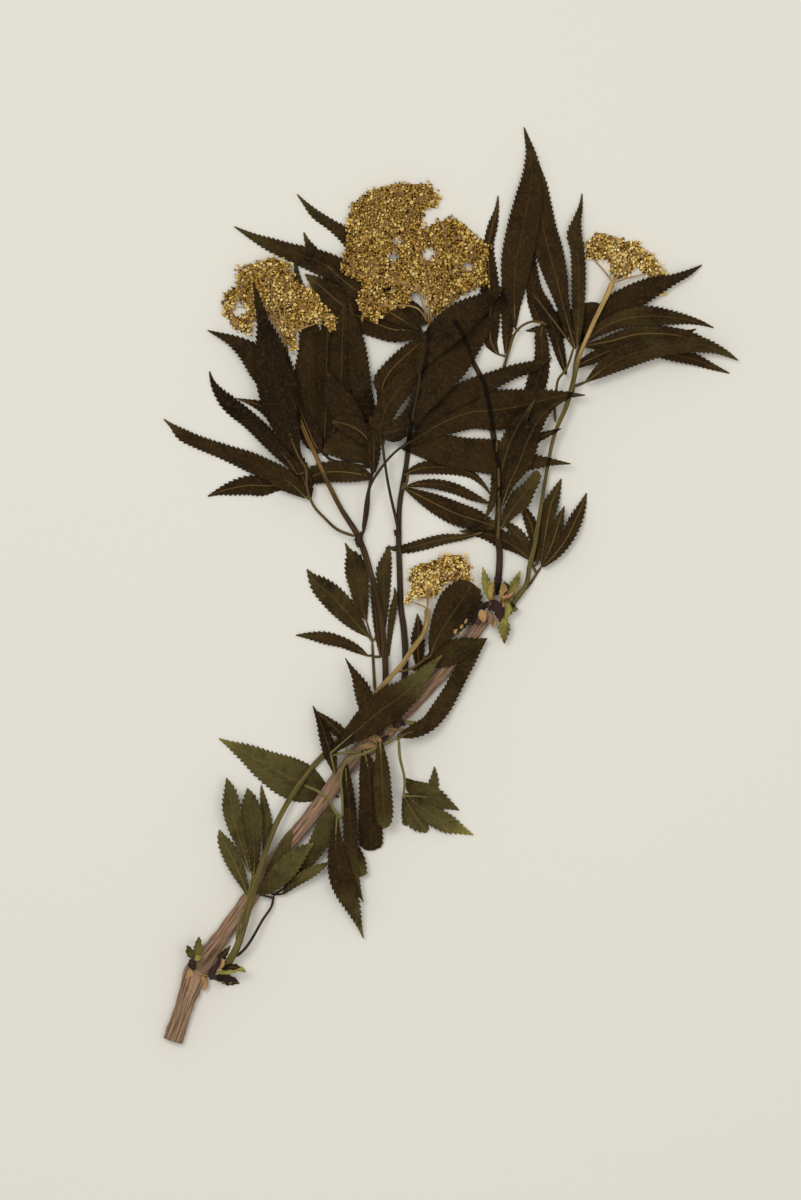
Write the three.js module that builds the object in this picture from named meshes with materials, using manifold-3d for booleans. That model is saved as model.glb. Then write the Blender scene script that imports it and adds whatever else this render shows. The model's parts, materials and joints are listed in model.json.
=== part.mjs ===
// A flowering branch of elder, pressed flat: a cut woody stem, five shoots, dark compound leaves whose
// leaflets are saw-edged, and four flat heads of small cream flowers. It lies on its woody stem.
// Every piece is laid in turn on what is already there, so nothing passes through anything else.
import * as THREE from 'three';
import Module from 'manifold-3d';

const wasm = await Module();
wasm.setup();

// ---------------------------------------------------------------- driving dimensions, mm
const bladeThick = 0.6;        // thickness of a leaflet
const clearGap = 0.3;          // air between two pieces that lie on each other
const toothPitch = 9.5;        // one saw tooth of a leaflet's edge
const toothDepth = 0.2;        // how far a notch cuts into the half width
const notchAt = 0.2;           // where a tooth's notch and its point are along it
const pointAt = 0.85;
const stalkHalf = 0.5;         // half width of a leaflet's own stalk
const tipHalf = 0.3;           // half width at a leaflet's point
const rachisWidth = 1.6;       // stalk of a compound leaf
const rachisHeight = 1.3;
const pressed = 0.8;           // height of a pressed round stem over its width
const bladeSlope = 0.4;        // steepest rise of a leaf along its length
const stalkStep = 5;           // a section of a leaflet's stalk every so many mm
const stalkSpare = 1.5;        // room kept free beside a leaf's stalk, where its leaflets leave it
const stalkLift = 0.12;        // a leaf's stalk lies this much higher than its leaflets
const rootStep = 0.06;         // difference in height between the roots of two leaflets
const rootLevels = 5;          // roots lie at so many heights
const shortStalk = 2;          // a leaflet nearer its leaf's stalk than this has no stalk of its own
const shootSlope = 0.3;
const woodSlope = 0.05;
const stemStep = 7;            // a ring of a stem every so many mm
const floretPitch = 3.5;       // distance between two flowers of a head
const headCore = 1.3;          // thickness of the stalks and buds under the flowers
const floretRise = 1.9;        // how far a flower stands out of them
const rimFloret = 2;           // radius of a loose flower at a head's edge
const rimShare = 0.28;         // share of the rim that has one
const rimLift = 0.15;          // a loose flower hangs this far above the head's underside
const rimPeak = 0.8;           // and its middle stands this far above the core
const petalLevel = 0.6;        // height of its petals' points over the core's
const shortPetal = 0.75;       // shortest petal over the longest
const cornerShift = 1;         // how far a head's corners and its flowers' middles are moved about
const peakShift = 0.6;
const coreUneven = 0.4;        // difference in thickness from place to place
const lowFlower = 0.6;         // lowest flower over the highest
const settlePasses = 12;       // times a head's heights are evened out
const headSeed = 7;
const finest = 0.03;           // slivers smaller than this, left where pieces are joined, are closed up
const mapHalfX = 130;          // half size of the map of heights
const mapHalfY = 190;
const mapMargin = 0.75;        // half a cell's diagonal, so no part of a piece is missed

// ---------------------------------------------------------------- colours
const finishes = {
  wood: { color: 0x8d6449, roughness: 0.85 },
  greenStem: { color: 0x58522b, roughness: 0.8 },
  brownStem: { color: 0x3a2a18, roughness: 0.8 },
  goldStem: { color: 0x9a7434, roughness: 0.8 },
  darkLeaf: { color: 0x2c2014, roughness: 0.85 },
  oliveLeaf: { color: 0x423d20, roughness: 0.85 },
  flower: { color: 0xb98f45, roughness: 0.9 },
  bud: { color: 0x3c2228, roughness: 0.8 },
  greenBud: { color: 0x7a7434, roughness: 0.8 },
};

// ---------------------------------------------------------------- stems: points are x, y, width
const stems = {
  main_stem: {
    finish: 'wood',
    slope: woodSlope,
    section: 'eight',
    points: [
      [-104, -172, 7.6], [-99.5, -158, 6.9], [-95, -146, 9], [-91, -140, 7.2], [-85, -132, 6.1],
      [-77, -121, 5.9], [-64, -102, 5.8], [-52.5, -88, 5.8], [-43, -75, 5.8], [-36, -66, 6.2],
      [-27, -58, 7.6], [-20, -51.5, 5.8], [-5, -36, 5.2], [6, -23, 5], [14, -11.5, 5.6],
    ],
  },
  shoot_centre_left: {
    finish: 'brownStem',
    slope: shootSlope,
    section: 'six',
    points: [
      [-20, -54, 3], [-17, -38, 2.6], [-16.5, -28, 2.4], [-17, -18, 2.4], [-18.2, -8, 2.2],
      [-18.6, 3, 2.2], [-19, 20, 2.1], [-18.5, 31, 1.9], [-16, 46, 1.9], [-13.5, 66, 1.8], [-11, 75, 1.8],
      [-8.5, 85, 1.8], [-7.5, 97, 2],
    ],
  },
  shoot_left: {
    finish: 'goldStem',
    slope: shootSlope,
    section: 'six',
    points: [
      [-26, -57, 2.8], [-24.3, -45, 2.4], [-24, -30, 2.4], [-25, -18, 2.4], [-27, -6, 2.3],
      [-29.5, 4, 2.3], [-34, 17.5, 2.3], [-41, 29, 1.9], [-46, 39, 1.8], [-50, 48, 1.7], [-57, 64, 1.6],
      [-61, 84, 1.6], [-61.5, 90, 1.6],
    ],
  },
  shoot_centre: {
    finish: 'brownStem',
    slope: shootSlope,
    section: 'six',
    points: [
      [17.4, -4, 2.8], [18.5, 2, 2.6], [19, 11, 2.4], [18.2, 20, 2.4], [19, 36, 2.2], [18.5, 45, 2.2],
      [17, 54, 2.1], [15, 68, 2], [13, 76, 2], [9, 84, 1.8], [6, 92, 1.8], [2, 99, 1.8],
    ],
  },
  shoot_right: {
    finish: 'greenStem',
    slope: shootSlope,
    section: 'six',
    points: [
      [20, -12, 2.6], [25, -6, 2.4], [29, 0, 2.2], [30.3, 7, 2.2], [32, 14, 2.1], [35.5, 35, 1.7],
      [39.5, 56, 1.8], [44, 67, 2.2], [47, 78, 2.2], [48.3, 84, 2], [51, 91, 1.9], [55, 100, 1.9],
      [58, 106, 2.1], [61.5, 113.5, 3],
    ],
  },
  shoot_small: {
    finish: 'greenStem',
    slope: shootSlope,
    section: 'six',
    points: [
      [-85, -145, 3], [-80.5, -138, 2.8], [-77.5, -130, 2.4], [-71.5, -108, 2.1], [-64, -88, 2],
      [-54, -72, 2.1], [-40, -56.5, 2], [-25, -38, 1.9], [-18.2, -30.6, 1.9], [-13.5, -23.9, 1.9],
      [-10.1, -19.2, 1.9], [-8.4, -14.4, 2.1], [-8.2, -9, 2.4],
    ],
  },
};

// ---------------------------------------------------------------- leaves
// A stalk is a line of x, y points; a branch leaves a point of the stalk before it. A leaflet is a line of
// x, y, width from its base to its tip; a broken one ends wide.
const leaves = {
  leaf_left_low: {
    finish: 'oliveLeaf',
    stalks: [[[-44, -79.3], [-41.5, -80.3]]],
    leaflets: [
      [
        [-44.5, -79, 1.2], [-49, -77.6, 9], [-54.5, -75.4, 14.5], [-61, -72.6, 15], [-68.5, -68.7, 11.6],
        [-76, -64, 7], [-82, -60.8, 3], [-86.8, -58.2, 0.4],
      ],
    ],
  },
  leaf_right_lower: {
    finish: 'darkLeaf',
    stalks: [[[24, -6], [30, -0.5], [33, 4], [35, 7]], [[33, 4], [30.8, 9]]],
    leaflets: [
      [[31, 10, 1.2], [28.3, 15.2, 4.6], [25.3, 19.3, 4.4], [21, 23.8, 0.8]],
      [[31.8, 8.5, 1.2], [32.2, 15, 3], [31.2, 21.5, 4.4], [29.5, 26, 3.4], [27.8, 30, 0.6]],
      [[33, 7.5, 1], [34.6, 15, 2.6], [35.2, 22, 2.6], [35.8, 31, 0.4]],
      [
        [34.8, 8.5, 1.2], [36, 17, 3], [37.2, 24.5, 4.6], [38.4, 30, 5.4], [40.4, 35, 3.2],
        [42.4, 39.8, 0.4],
      ],
      [[35.3, 7.5, 1.2], [38.5, 14.5, 5.4], [40.3, 20, 5], [41.7, 24.7, 3], [43.4, 29.4, 0.4]],
      [
        [35.5, 6.8, 1.2], [40, 11.5, 4], [44.2, 17.3, 5], [47.3, 23.5, 5.2], [49.8, 28.8, 3.2],
        [51.9, 34.4, 0.4],
      ],
      [
        [30.8, 9.3, 1.2], [25.5, 13.5, 3.8], [20.5, 16.7, 6.6], [15, 18.7, 4.6], [10, 19.6, 2.8],
        [4, 20, 0.5],
      ],
    ],
  },
  leaf_slip: {
    finish: 'oliveLeaf',
    stalks: [[[12.5, 19.6], [9, 18.6]]],
    leaflets: [
      [[12, 19.3, 1], [5, 17.8, 2.4], [-2, 17, 3.8], [-10, 15, 4.2], [-17, 13.4, 3.2], [-24, 13.8, 0.4]],
    ],
  },
  leaf_left_mid: {
    finish: 'darkLeaf',
    stalks: [[[-28, -40], [-28.6, -29], [-29, -21.5]]],
    leaflets: [
      [
        [-30.5, -19.6, 1], [-34.5, -15.3, 5.6], [-39.5, -9.6, 8.6], [-44.5, -4.4, 8.8],
        [-48.8, -0.4, 6.8], [-51.4, 2.3, 3.4], [-53.6, 5.7, 0.4],
      ],
      [
        [-31.3, -13.5, 1], [-33, -8, 5.4], [-33.8, -2, 7], [-34.8, 4, 8.4], [-36, 9, 6.4],
        [-37.8, 12.6, 2], [-39.2, 15.6, 0.4],
      ],
      [
        [-24.6, -17, 1.2], [-24.6, -9, 3.4], [-24.6, -1, 5], [-24.6, 5, 5.6], [-23.5, 10, 3.4],
        [-22.6, 14.8, 0.4],
      ],
      [[-22.8, -27, 0.8], [-22.2, -18, 2], [-21.2, -10, 2.8], [-20.2, -4.5, 1.6], [-20.6, -1.2, 0.4]],
      [[-25.8, -27.2, 0.8], [-26.8, -20, 2], [-27.5, -12, 2.8], [-28.6, -5, 2], [-30, 0, 0.4]],
      [
        [-30.8, -26.9, 0.8], [-34.5, -24.6, 3], [-40, -22, 4], [-46, -20.4, 4.6], [-52, -19.5, 2.8],
        [-57.8, -19.2, 0.4],
      ],
    ],
  },
  leaf_curved_right: {
    finish: 'darkLeaf',
    stalks: [[[-20, -58.5], [-16, -56]]],
    leaflets: [
      [
        [-19.5, -57, 1.2], [-14, -55.4, 5], [-8, -52.4, 6], [-3, -46.6, 6.8], [0.8, -40.4, 6.2],
        [3.8, -34.6, 6], [7.6, -28.2, 5.2], [11, -24, 2.6], [14.2, -20.4, 0.4],
      ],
    ],
  },
  leaf_upper_left: {
    finish: 'darkLeaf',
    stalks: [[[-8, 90], [-10, 94], [-11.5, 98]]],
    leaflets: [
      [[-44, 112, 1.2], [-47.5, 119, 4], [-51, 125, 4], [-53.5, 129.3, 2], [-54.8, 132.8, 0.4]],
      [
        [-8, 99, 2.5], [-13.5, 102.6, 7], [-22, 107, 8], [-33, 112, 8.4], [-43, 118.8, 9.4],
        [-52, 122.6, 8.4], [-60, 125.3, 6.4], [-67, 128, 5], [-73, 130.6, 3], [-81, 134.9, 0.4],
      ],
      [
        [-12, 102, 1.2], [-22, 112, 5.6], [-31, 122.5, 7], [-39, 131.5, 5.6], [-44.5, 135.6, 4],
        [-50.3, 139.5, 3.4], [-54, 143.3, 1.8], [-57.3, 147.1, 0.4],
      ],
      [
        [-10.5, 94, 3], [-15, 95.6, 8], [-21, 96, 9.5], [-28, 98.5, 10.5], [-36, 102, 12],
        [-43, 107.5, 11], [-49, 112.8, 6], [-54.3, 116.9, 0.5],
      ],
      [[-11.5, 96, 1.2], [-20, 101, 6], [-30, 107.5, 7], [-38, 113, 5], [-46, 120, 0.5]],
    ],
  },
  leaf_centre_left: {
    finish: 'darkLeaf',
    stalks: [
      [[-33, 18], [-31.9, 21.5], [-30.6, 28.3], [-30.2, 35.8], [-28.9, 44], [-31.5, 57]],
      [[-28.9, 44], [-38, 45.5], [-46, 48], [-50, 59]],
    ],
    leaflets: [
      [
        [-50.2, 60, 2], [-51.9, 65.5, 8.5], [-52.9, 72, 11], [-52.8, 80, 11], [-52.6, 88, 8.5],
        [-53, 98, 7], [-55, 107, 5], [-57.3, 116, 2.4], [-58, 123.5, 0.5],
      ],
      [
        [-46.8, 48.5, 1.5], [-46.8, 58, 5], [-46.2, 70, 7.5], [-46.2, 82, 8], [-46, 92, 7],
        [-45.5, 100, 3], [-45.3, 104, 0.5],
      ],
      [
        [-46, 49, 1.5], [-43.5, 58, 5], [-41.6, 68, 8], [-40.5, 80, 9], [-40.3, 90, 8.5],
        [-39.8, 100, 4.5], [-39.5, 106, 0.5],
      ],
      [
        [-29.6, 56, 1.5], [-29.8, 61, 4.5], [-31.4, 67, 6.6], [-32.9, 73, 7.6], [-33.8, 80, 7.8],
        [-34.9, 90, 6.5], [-36, 98, 3.6], [-37.3, 106, 0.5],
      ],
      [[-28.5, 44, 2], [-31, 48.5, 9], [-35, 51.5, 13], [-40, 52.5, 11.5], [-44, 51.5, 7], [-47.5, 50, 1]],
      [
        [-29, 40, 1.5], [-33, 41.3, 5.5], [-39, 42.2, 7.6], [-45, 42.3, 7.8], [-50, 41.3, 7],
        [-53.5, 39, 4], [-55, 36, 1],
      ],
      [[-31.5, 58, 2], [-34.5, 61, 6.5], [-38, 64.5, 10], [-41.5, 69, 10], [-44, 74, 7], [-46, 80, 0.5]],
      [[-48.5, 49.5, 2], [-51, 53.5, 7], [-53, 58, 7.5], [-55, 63, 5.5], [-57, 69, 2], [-58, 72, 0.5]],
      [[-28.5, 50, 1.5], [-31, 55, 7], [-35, 58.5, 8], [-40, 60.5, 6], [-44, 61, 1]],
      [[-28.5, 42, 2], [-28.3, 48, 4.5], [-28.3, 54, 5], [-28.8, 59, 3], [-29.5, 63, 1]],
    ],
  },
  leaf_s1_single: {
    finish: 'darkLeaf',
    stalks: [[[-19, 20], [-23, 38], [-25, 52], [-25.6, 58]]],
    leaflets: [
      [
        [-26, 58, 1.5], [-26, 66, 2.2], [-25.2, 72, 4.6], [-24.6, 76, 8], [-21.9, 80.6, 7],
        [-16.5, 86, 6.6], [-10, 91.5, 4.8], [-4.5, 98, 0.5],
      ],
      [
        [-25.2, 52, 1.4], [-25.7, 56, 5], [-25.2, 61.5, 7.4], [-22.6, 68, 8.6], [-17.8, 74.4, 8.8],
        [-12.2, 79.8, 7.2], [-9, 88, 5], [-7, 96, 0.5],
      ],
    ],
  },
  leaf_s1_mid: {
    finish: 'darkLeaf',
    stalks: [[[-18, 35.5], [-16, 38], [-15.5, 42]]],
    leaflets: [
      [
        [-16.5, 36.2, 1.2], [-11, 33.3, 4.6], [-4, 29.8, 7.6], [3, 26.5, 8.6], [10, 24.2, 7.6],
        [15, 22.5, 4.4], [20, 21.2, 0.5],
      ],
      [[-15.5, 37, 1], [-11, 37.8, 2.6], [-5, 37.7, 3.8], [2, 36.1, 4], [9, 33, 3], [16, 30, 0.4]],
      [
        [-16.8, 41.6, 1], [-11, 43.6, 4.2], [-4, 44.3, 5.4], [3, 43.5, 4.6], [8.5, 41.4, 3],
        [12.5, 38, 1.6], [16.2, 33, 0.4],
      ],
    ],
  },
  leaf_right_fan: {
    finish: 'darkLeaf',
    stalks: [[[46.8, 72], [47.3, 82], [48.5, 88], [50, 91]], [[46.9, 74.5], [52, 76.5]]],
    leaflets: [
      [[49.8, 89.5, 1.5], [51, 94, 4.5], [52.8, 99.5, 6.8], [54.2, 104, 6.6], [54.4, 106.5, 6]],
      [
        [50.5, 91, 1.2], [54.5, 96.8, 7], [60.8, 102.9, 9.8], [69, 108, 9.6], [77, 112, 7.4],
        [84, 114.6, 4], [90, 117.2, 2.4], [95.3, 120.4, 0.4],
      ],
      [
        [50.8, 90.8, 1.2], [57, 96, 4.5], [65, 99.6, 6.4], [74, 100.9, 7.6], [82, 100.7, 5.6],
        [90, 99.8, 3.2], [95, 98.6, 1.8], [99.8, 96.8, 0.4],
      ],
      [
        [52, 89.6, 1.6], [57, 90.2, 4], [62, 92, 4.6], [68, 94, 4.6], [74, 94.8, 4.6], [80, 95, 4.4],
        [86, 94.6, 3.4], [90, 95.2, 1.6], [93.2, 96.3, 0.4],
      ],
      [
        [50, 89.4, 1.2], [60, 91.3, 3.6], [71, 94, 5.4], [82, 94, 5.4], [91, 92.3, 5], [98, 89.8, 3],
        [104.5, 86.8, 0.5],
      ],
      [
        [47.5, 81.3, 1.2], [49.6, 82.9, 2.8], [53, 84.6, 4.4], [62, 88, 5], [74, 88.5, 5], [85, 86.3, 5],
        [93, 84.6, 4.2], [99.5, 82, 2.4], [105.8, 79.6, 0.4],
      ],
      [
        [51.6, 76.3, 1.2], [57, 80.2, 5.4], [64, 84.5, 8.6], [72, 87.6, 8.8], [81, 89.2, 6.6],
        [90, 90, 6], [96, 89.6, 5.2], [101, 88.2, 3.2], [105, 86.4, 2], [108.8, 84.3, 0.4],
      ],
    ],
  },
  leaf_top: {
    finish: 'darkLeaf',
    stalks: [[[40, 61], [39.7, 66], [40.2, 73], [41, 77], [44, 81], [46.8, 89]]],
    leaflets: [
      [[42.5, 103.3, 7.6], [43.3, 98, 7.8], [44.4, 93, 4.6]],
      [[29.8, 112, 1], [31, 107, 3], [33.2, 102, 4.4], [34.2, 98.8, 4]],
      [
        [44, 79.5, 1.2], [42.2, 86, 3.6], [39.8, 95, 5], [36.6, 103, 5.8], [32.6, 110, 5.6],
        [30.6, 118, 5.6], [30, 127, 4.6], [29.8, 135, 2.6], [29.6, 142, 0.5],
      ],
      [
        [48, 89.5, 1.2], [48.4, 98, 3.6], [48.7, 108, 5], [48.7, 118, 5.4], [48.2, 126, 5.2],
        [47.2, 131.5, 5.6], [48, 136.5, 3.4], [49.5, 142, 1.6], [50.2, 147.4, 0.4],
      ],
      [
        [47.2, 88.5, 1.2], [44.8, 97, 3.2], [42.2, 107, 5.8], [40.2, 116, 8.8], [37.8, 125, 10.4],
        [35.6, 134, 9.6], [34.8, 143, 7.4], [34.8, 151, 4], [33.6, 159, 0.5],
      ],
    ],
  },
  leaf_top_left: {
    finish: 'darkLeaf',
    stalks: [[[16, 70], [20.3, 81], [22.5, 88], [25.5, 95.5], [31, 98.7], [36, 98]]],
    leaflets: [
      [[36.2, 97, 1.5], [33, 96.2, 2], [31, 95.8, 1.2], [29, 95.6, 0.4]],
      [
        [35.4, 98, 1.5], [34.6, 94.5, 4.4], [35, 89, 5.2], [35, 84, 6], [33.6, 78, 7.4], [31.8, 72, 7],
        [29.5, 64, 4], [28, 58, 0.5],
      ],
      [
        [21.5, 87, 1.2], [21.9, 94, 3.8], [22.2, 100, 4.8], [22, 108, 5.5], [22.5, 116, 4],
        [23.5, 124, 0.5],
      ],
      [
        [18.3, 87, 1.2], [15.8, 91.5, 5.2], [15.5, 98, 7], [15.6, 107, 7.4], [15, 117, 6.4],
        [14.9, 128, 3.8], [16.4, 135, 3.6], [18, 141.5, 1.6], [18.5, 146.6, 0.4],
      ],
      [
        [24.8, 97, 1.2], [24.6, 104, 4.5], [24.6, 112, 9], [25.3, 121, 11.4], [27.6, 133, 12],
        [29.9, 145, 10], [31.2, 155, 6.6], [30.7, 163, 3.4], [29.2, 169, 1.5], [28.3, 172.4, 0.4],
      ],
    ],
  },
  leaf_centre: {
    finish: 'darkLeaf',
    stalks: [[[-32.5, 20.4], [-30.2, 35.5], [-26, 43], [-20.4, 49.5], [-14, 54]]],
    leaflets: [
      [
        [-17.5, 51.2, 1.2], [-12, 51.3, 6], [-4, 50.8, 11], [6, 49.2, 12], [16, 48, 13], [25, 46.8, 10],
        [32, 46, 5.6], [38, 45.9, 2.8], [45.6, 45.2, 0.4],
      ],
      [
        [-17, 51.8, 1.2], [-11, 55.8, 5.4], [-2, 61, 10.2], [8, 64.7, 12.8], [18, 65.6, 15],
        [28, 67.3, 12], [37, 69.6, 6.8], [44, 70.9, 2.8], [51, 71, 0.4],
      ],
    ],
  },
  leaf_s3: {
    finish: 'oliveLeaf',
    stalks: [[[18.3, 17], [18.8, 28], [18.6, 40], [17.8, 54]]],
    leaflets: [
      [[24, 50, 1.2], [31, 54, 3.6], [36.5, 56.3, 2.4], [42, 58.4, 0.4]],
      [[17.5, 52, 1.2], [17.8, 42, 4], [17.2, 34, 3.6], [15.5, 29, 2.2], [13.3, 24, 0.4]],
      [[18.5, 33, 1.2], [19.5, 42, 6], [22, 51, 7], [25.5, 59, 6], [29.5, 65, 2], [32, 69, 0.4]],
      [
        [19.8, 21.2, 1.2], [22.5, 26.5, 5.2], [26.5, 31.8, 8], [29.8, 36, 5.4], [32.3, 40, 4],
        [33, 42.8, 2.4],
      ],
      [
        [19.8, 29.5, 1.2], [22.3, 37, 3.8], [26, 45, 8.4], [28.6, 52, 9], [31.3, 58, 6.6], [35, 63.4, 4],
        [39.5, 67.4, 2.1], [45.8, 70.3, 0.4],
      ],
    ],
  },
  leaf_s1_upper: {
    finish: 'darkLeaf',
    stalks: [[[-14.2, 59], [-13.2, 66], [-11.5, 74], [-11, 80]]],
    leaflets: [
      [
        [-13.5, 58.8, 2.5], [-7, 64.2, 6.4], [1, 69.5, 8], [9, 73.6, 8], [17, 77, 6.5], [24, 79.9, 5.2],
        [31, 82, 4], [38.8, 85.3, 0.4],
      ],
      [
        [-25, 56.7, 4], [-20.5, 57, 7.5], [-15.5, 61.5, 7], [-12, 66, 8], [-7.5, 73, 11.5],
        [0.5, 82.5, 13], [8, 91, 9], [14.5, 98.5, 4.5], [20.3, 104, 0.5],
      ],
      [
        [-12, 79.5, 1.5], [-8, 87, 8], [-2, 94.5, 12], [5, 100.5, 11.5], [12, 105.5, 7.5],
        [17, 109.5, 3.2], [20.5, 112.2, 0.4],
      ],
    ],
  },
  leaf_left: {
    finish: 'darkLeaf',
    stalks: [
      [[-35.5, 18], [-42, 20.5], [-47, 25], [-51, 29.5], [-53.5, 36], [-54, 43.5], [-56, 47], [-59, 60]],
    ],
    leaflets: [
      [[-52.5, 32, 1.5], [-53.5, 36, 5], [-55.5, 41, 7], [-58, 46, 7], [-61, 51, 4], [-64, 56, 1]],
      [
        [-60.5, 36.2, 1], [-64.5, 37, 4], [-70, 37.2, 7.6], [-76, 37.3, 7], [-82, 36.2, 5],
        [-87, 34.8, 2.3], [-91, 33.2, 0.5],
      ],
      [
        [-54, 32.8, 1.5], [-58, 36.6, 6.5], [-63, 40, 8], [-69, 43.3, 7.6], [-75, 46.1, 7.3],
        [-85, 50, 5.6], [-95, 53.8, 4.8], [-100.5, 56.4, 4.4], [-104.5, 59.7, 1.8], [-107.6, 62.3, 0.4],
      ],
      [
        [-57, 41.5, 1.2], [-61.5, 47.5, 4.8], [-67, 53.8, 6.4], [-74.5, 61.2, 6.2], [-82.5, 67.7, 6.1],
        [-86.7, 72.2, 3.8], [-89.2, 76.3, 1.7], [-90.4, 80.3, 0.4],
      ],
      [[-60, 57, 1], [-66, 63.5, 5], [-70.5, 67, 4], [-75.5, 68.8, 1.8], [-80, 70, 0.4]],
      [
        [-60, 64, 1.2], [-64, 72, 8], [-69.5, 80.5, 11], [-75.5, 87.5, 8], [-81.5, 91.6, 4.2],
        [-86.5, 93.8, 2], [-91, 95.6, 0.4],
      ],
      [
        [-56, 47, 1.2], [-58.8, 53, 6], [-61.5, 61, 11.8], [-64, 71, 14.6], [-66, 81, 14.4],
        [-68, 91, 9.4], [-70, 99, 4.6], [-71.8, 106, 2.8], [-73.8, 113.6, 0.4],
      ],
    ],
  },
  leaf_by_small_cluster: {
    finish: 'darkLeaf',
    stalks: [[[-19, -33], [-14, -31.5], [-9, -28]]],
    leaflets: [
      [[-11.5, -32, 1.2], [-11.6, -27, 4], [-11.8, -21, 5], [-11.6, -15.5, 3], [-12, -11, 0.4]],
      [
        [-13, -32.5, 1.2], [-7, -29, 6], [-1, -26.3, 9.4], [5, -23.8, 7.4], [10, -22, 3.4],
        [14.3, -20.4, 0.4],
      ],
      [
        [-7, -27, 1.2], [-4.6, -20.5, 7], [-1, -14.5, 12.4], [2.6, -9.2, 15.4], [5.8, -4.4, 14],
        [7.8, -1.2, 9.5], [8.8, 0.4, 5],
      ],
    ],
  },
  leaf_base_left: {
    finish: 'oliveLeaf',
    stalks: [[[-80, -135], [-79, -128], [-76, -120], [-74.5, -112], [-73, -107]]],
    leaflets: [
      [
        [-70, -105, 1], [-68.8, -97.5, 3], [-68.6, -91, 4], [-69.5, -84, 3], [-70.4, -79.5, 1.8],
        [-70.8, -75.7, 0.4],
      ],
      [
        [-73.5, -111, 1.2], [-73.2, -103, 4], [-73.8, -95, 6.6], [-74.5, -87, 8.4], [-75, -81.5, 5.4],
        [-75.9, -76.8, 0.5],
      ],
      [
        [-75.6, -117, 1], [-77.8, -111.5, 4], [-80.8, -105, 6], [-83.6, -99.6, 5.6], [-85.6, -96, 3.4],
        [-86.7, -92.6, 0.4],
      ],
      [
        [-75, -108, 1], [-77.6, -99.5, 3.4], [-80.2, -91.5, 5.8], [-81.8, -84, 6.8], [-82.4, -78, 4.4],
        [-83.8, -72.8, 0.4],
      ],
    ],
  },
  leaf_base_right: {
    finish: 'oliveLeaf',
    stalks: [[[-80, -140], [-76, -136], [-70, -126], [-67, -121.5], [-66, -117]]],
    leaflets: [
      [[-70.5, -113.5, 1], [-66.5, -107, 4], [-63, -100.8, 4.4], [-60.7, -96, 3], [-59.2, -92.8, 0.8]],
      [
        [-62, -114.5, 1.2], [-56.5, -108.5, 3.6], [-51.5, -101.5, 6], [-47.8, -94.5, 7.4],
        [-45.4, -88.5, 6], [-44.3, -83, 1.5],
      ],
      [[-62.5, -116.5, 1.2], [-57.5, -111.8, 3.6], [-52, -108.3, 4], [-48, -106.2, 2.4], [-45.8, -105, 1]],
      [
        [-71.5, -116.5, 2], [-67, -112.5, 7], [-61.5, -107, 8.4], [-57, -102, 6], [-53.5, -99, 3],
        [-51, -97.3, 0.5],
      ],
    ],
  },
  leaf_lower_mid: {
    finish: 'darkLeaf',
    stalks: [[[-20, -57.5], [-25, -60.5], [-31, -63], [-38, -63], [-45, -64.5]]],
    leaflets: [
      [
        [-30, -52, 1.5], [-31, -46, 6], [-32.6, -40, 6], [-35, -34.6, 3.2], [-37.3, -30.8, 1.4],
        [-39, -27.8, 0.4],
      ],
      [
        [-43, -71, 1.2], [-44.6, -64, 5], [-46.5, -57.5, 4.6], [-48.5, -51.5, 2.8], [-50.3, -48, 1.2],
        [-51.3, -45.7, 0.4],
      ],
      [[-38.8, -58, 1.2], [-41.5, -55.3, 4.6], [-45, -52, 3.2], [-48, -49.2, 1.4], [-50.2, -47.5, 0.4]],
      [
        [-44.5, -63.5, 1.2], [-38.5, -58, 5.4], [-32.5, -53, 10], [-26.5, -48, 12.4], [-21, -44, 12.5],
        [-16, -40.3, 9.6], [-11, -35.2, 6], [-6.5, -30.4, 2.8], [-2.7, -26.5, 0.4],
      ],
    ],
  },
  leaf_drooping: {
    finish: 'darkLeaf',
    stalks: [
      [[-25, -60], [-32, -63.5], [-38.5, -66], [-40.7, -72], [-40.2, -80], [-40, -88]],
      [[-40, -88], [-42.5, -86], [-45, -81.5], [-49, -78], [-54.5, -75.5]],
    ],
    leaflets: [
      [[-32, -62, 2], [-30.3, -70, 7], [-29.6, -80, 8.5], [-29.6, -91, 9], [-29.4, -100.4, 8.6]],
      [[-26, -59, 2], [-25.4, -68, 5.5], [-25, -77, 6.6], [-24.4, -85.5, 6.4], [-24.2, -91.5, 4]],
      [[-36.5, -96, 1.5], [-34.4, -103, 5], [-32.8, -110, 4]],
      [
        [-39, -67.5, 1.5], [-38.4, -76, 4.4], [-37.4, -86, 5.2], [-37, -96, 5.6], [-36.8, -104, 5],
        [-35.5, -111, 3.6], [-33.8, -116, 1.6], [-32.4, -119.5, 0.4],
      ],
      [
        [-42.2, -87.5, 1.2], [-42.6, -94, 4], [-42.2, -102, 7], [-40.7, -109.5, 9], [-38.6, -115.5, 8.4],
        [-36, -122, 5.2], [-33.8, -128.5, 2], [-32.3, -133.4, 0.4],
      ],
    ],
  },
  leaf_small_hanging: {
    finish: 'oliveLeaf',
    stalks: [[[-19, -58], [-18.5, -65], [-16.8, -73], [-17.2, -80]]],
    leaflets: [
      [[-7.5, -80, 1.2], [-6, -76, 4], [-5.5, -72.5, 2.4], [-5.5, -68.8, 0.4]],
      [
        [-16.8, -73.3, 1], [-13.5, -76.5, 6], [-9, -79.4, 9], [-4.5, -81.3, 7.4], [-0.5, -83, 3.6],
        [3.8, -85.2, 0.4],
      ],
      [[-17.2, -79.8, 1], [-16.4, -84, 3], [-15.8, -88, 4], [-16.8, -91, 1.5]],
      [[-16.8, -80, 1], [-14.5, -84.5, 6], [-12, -88.5, 8], [-9.6, -91.8, 4.4], [-8.6, -93.6, 1]],
      [[-16.3, -79, 1], [-12, -83, 4.4], [-6.5, -87, 7], [-1, -90, 7], [4, -92.3, 3.6], [9.2, -94.6, 0.4]],
    ],
  },
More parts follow.
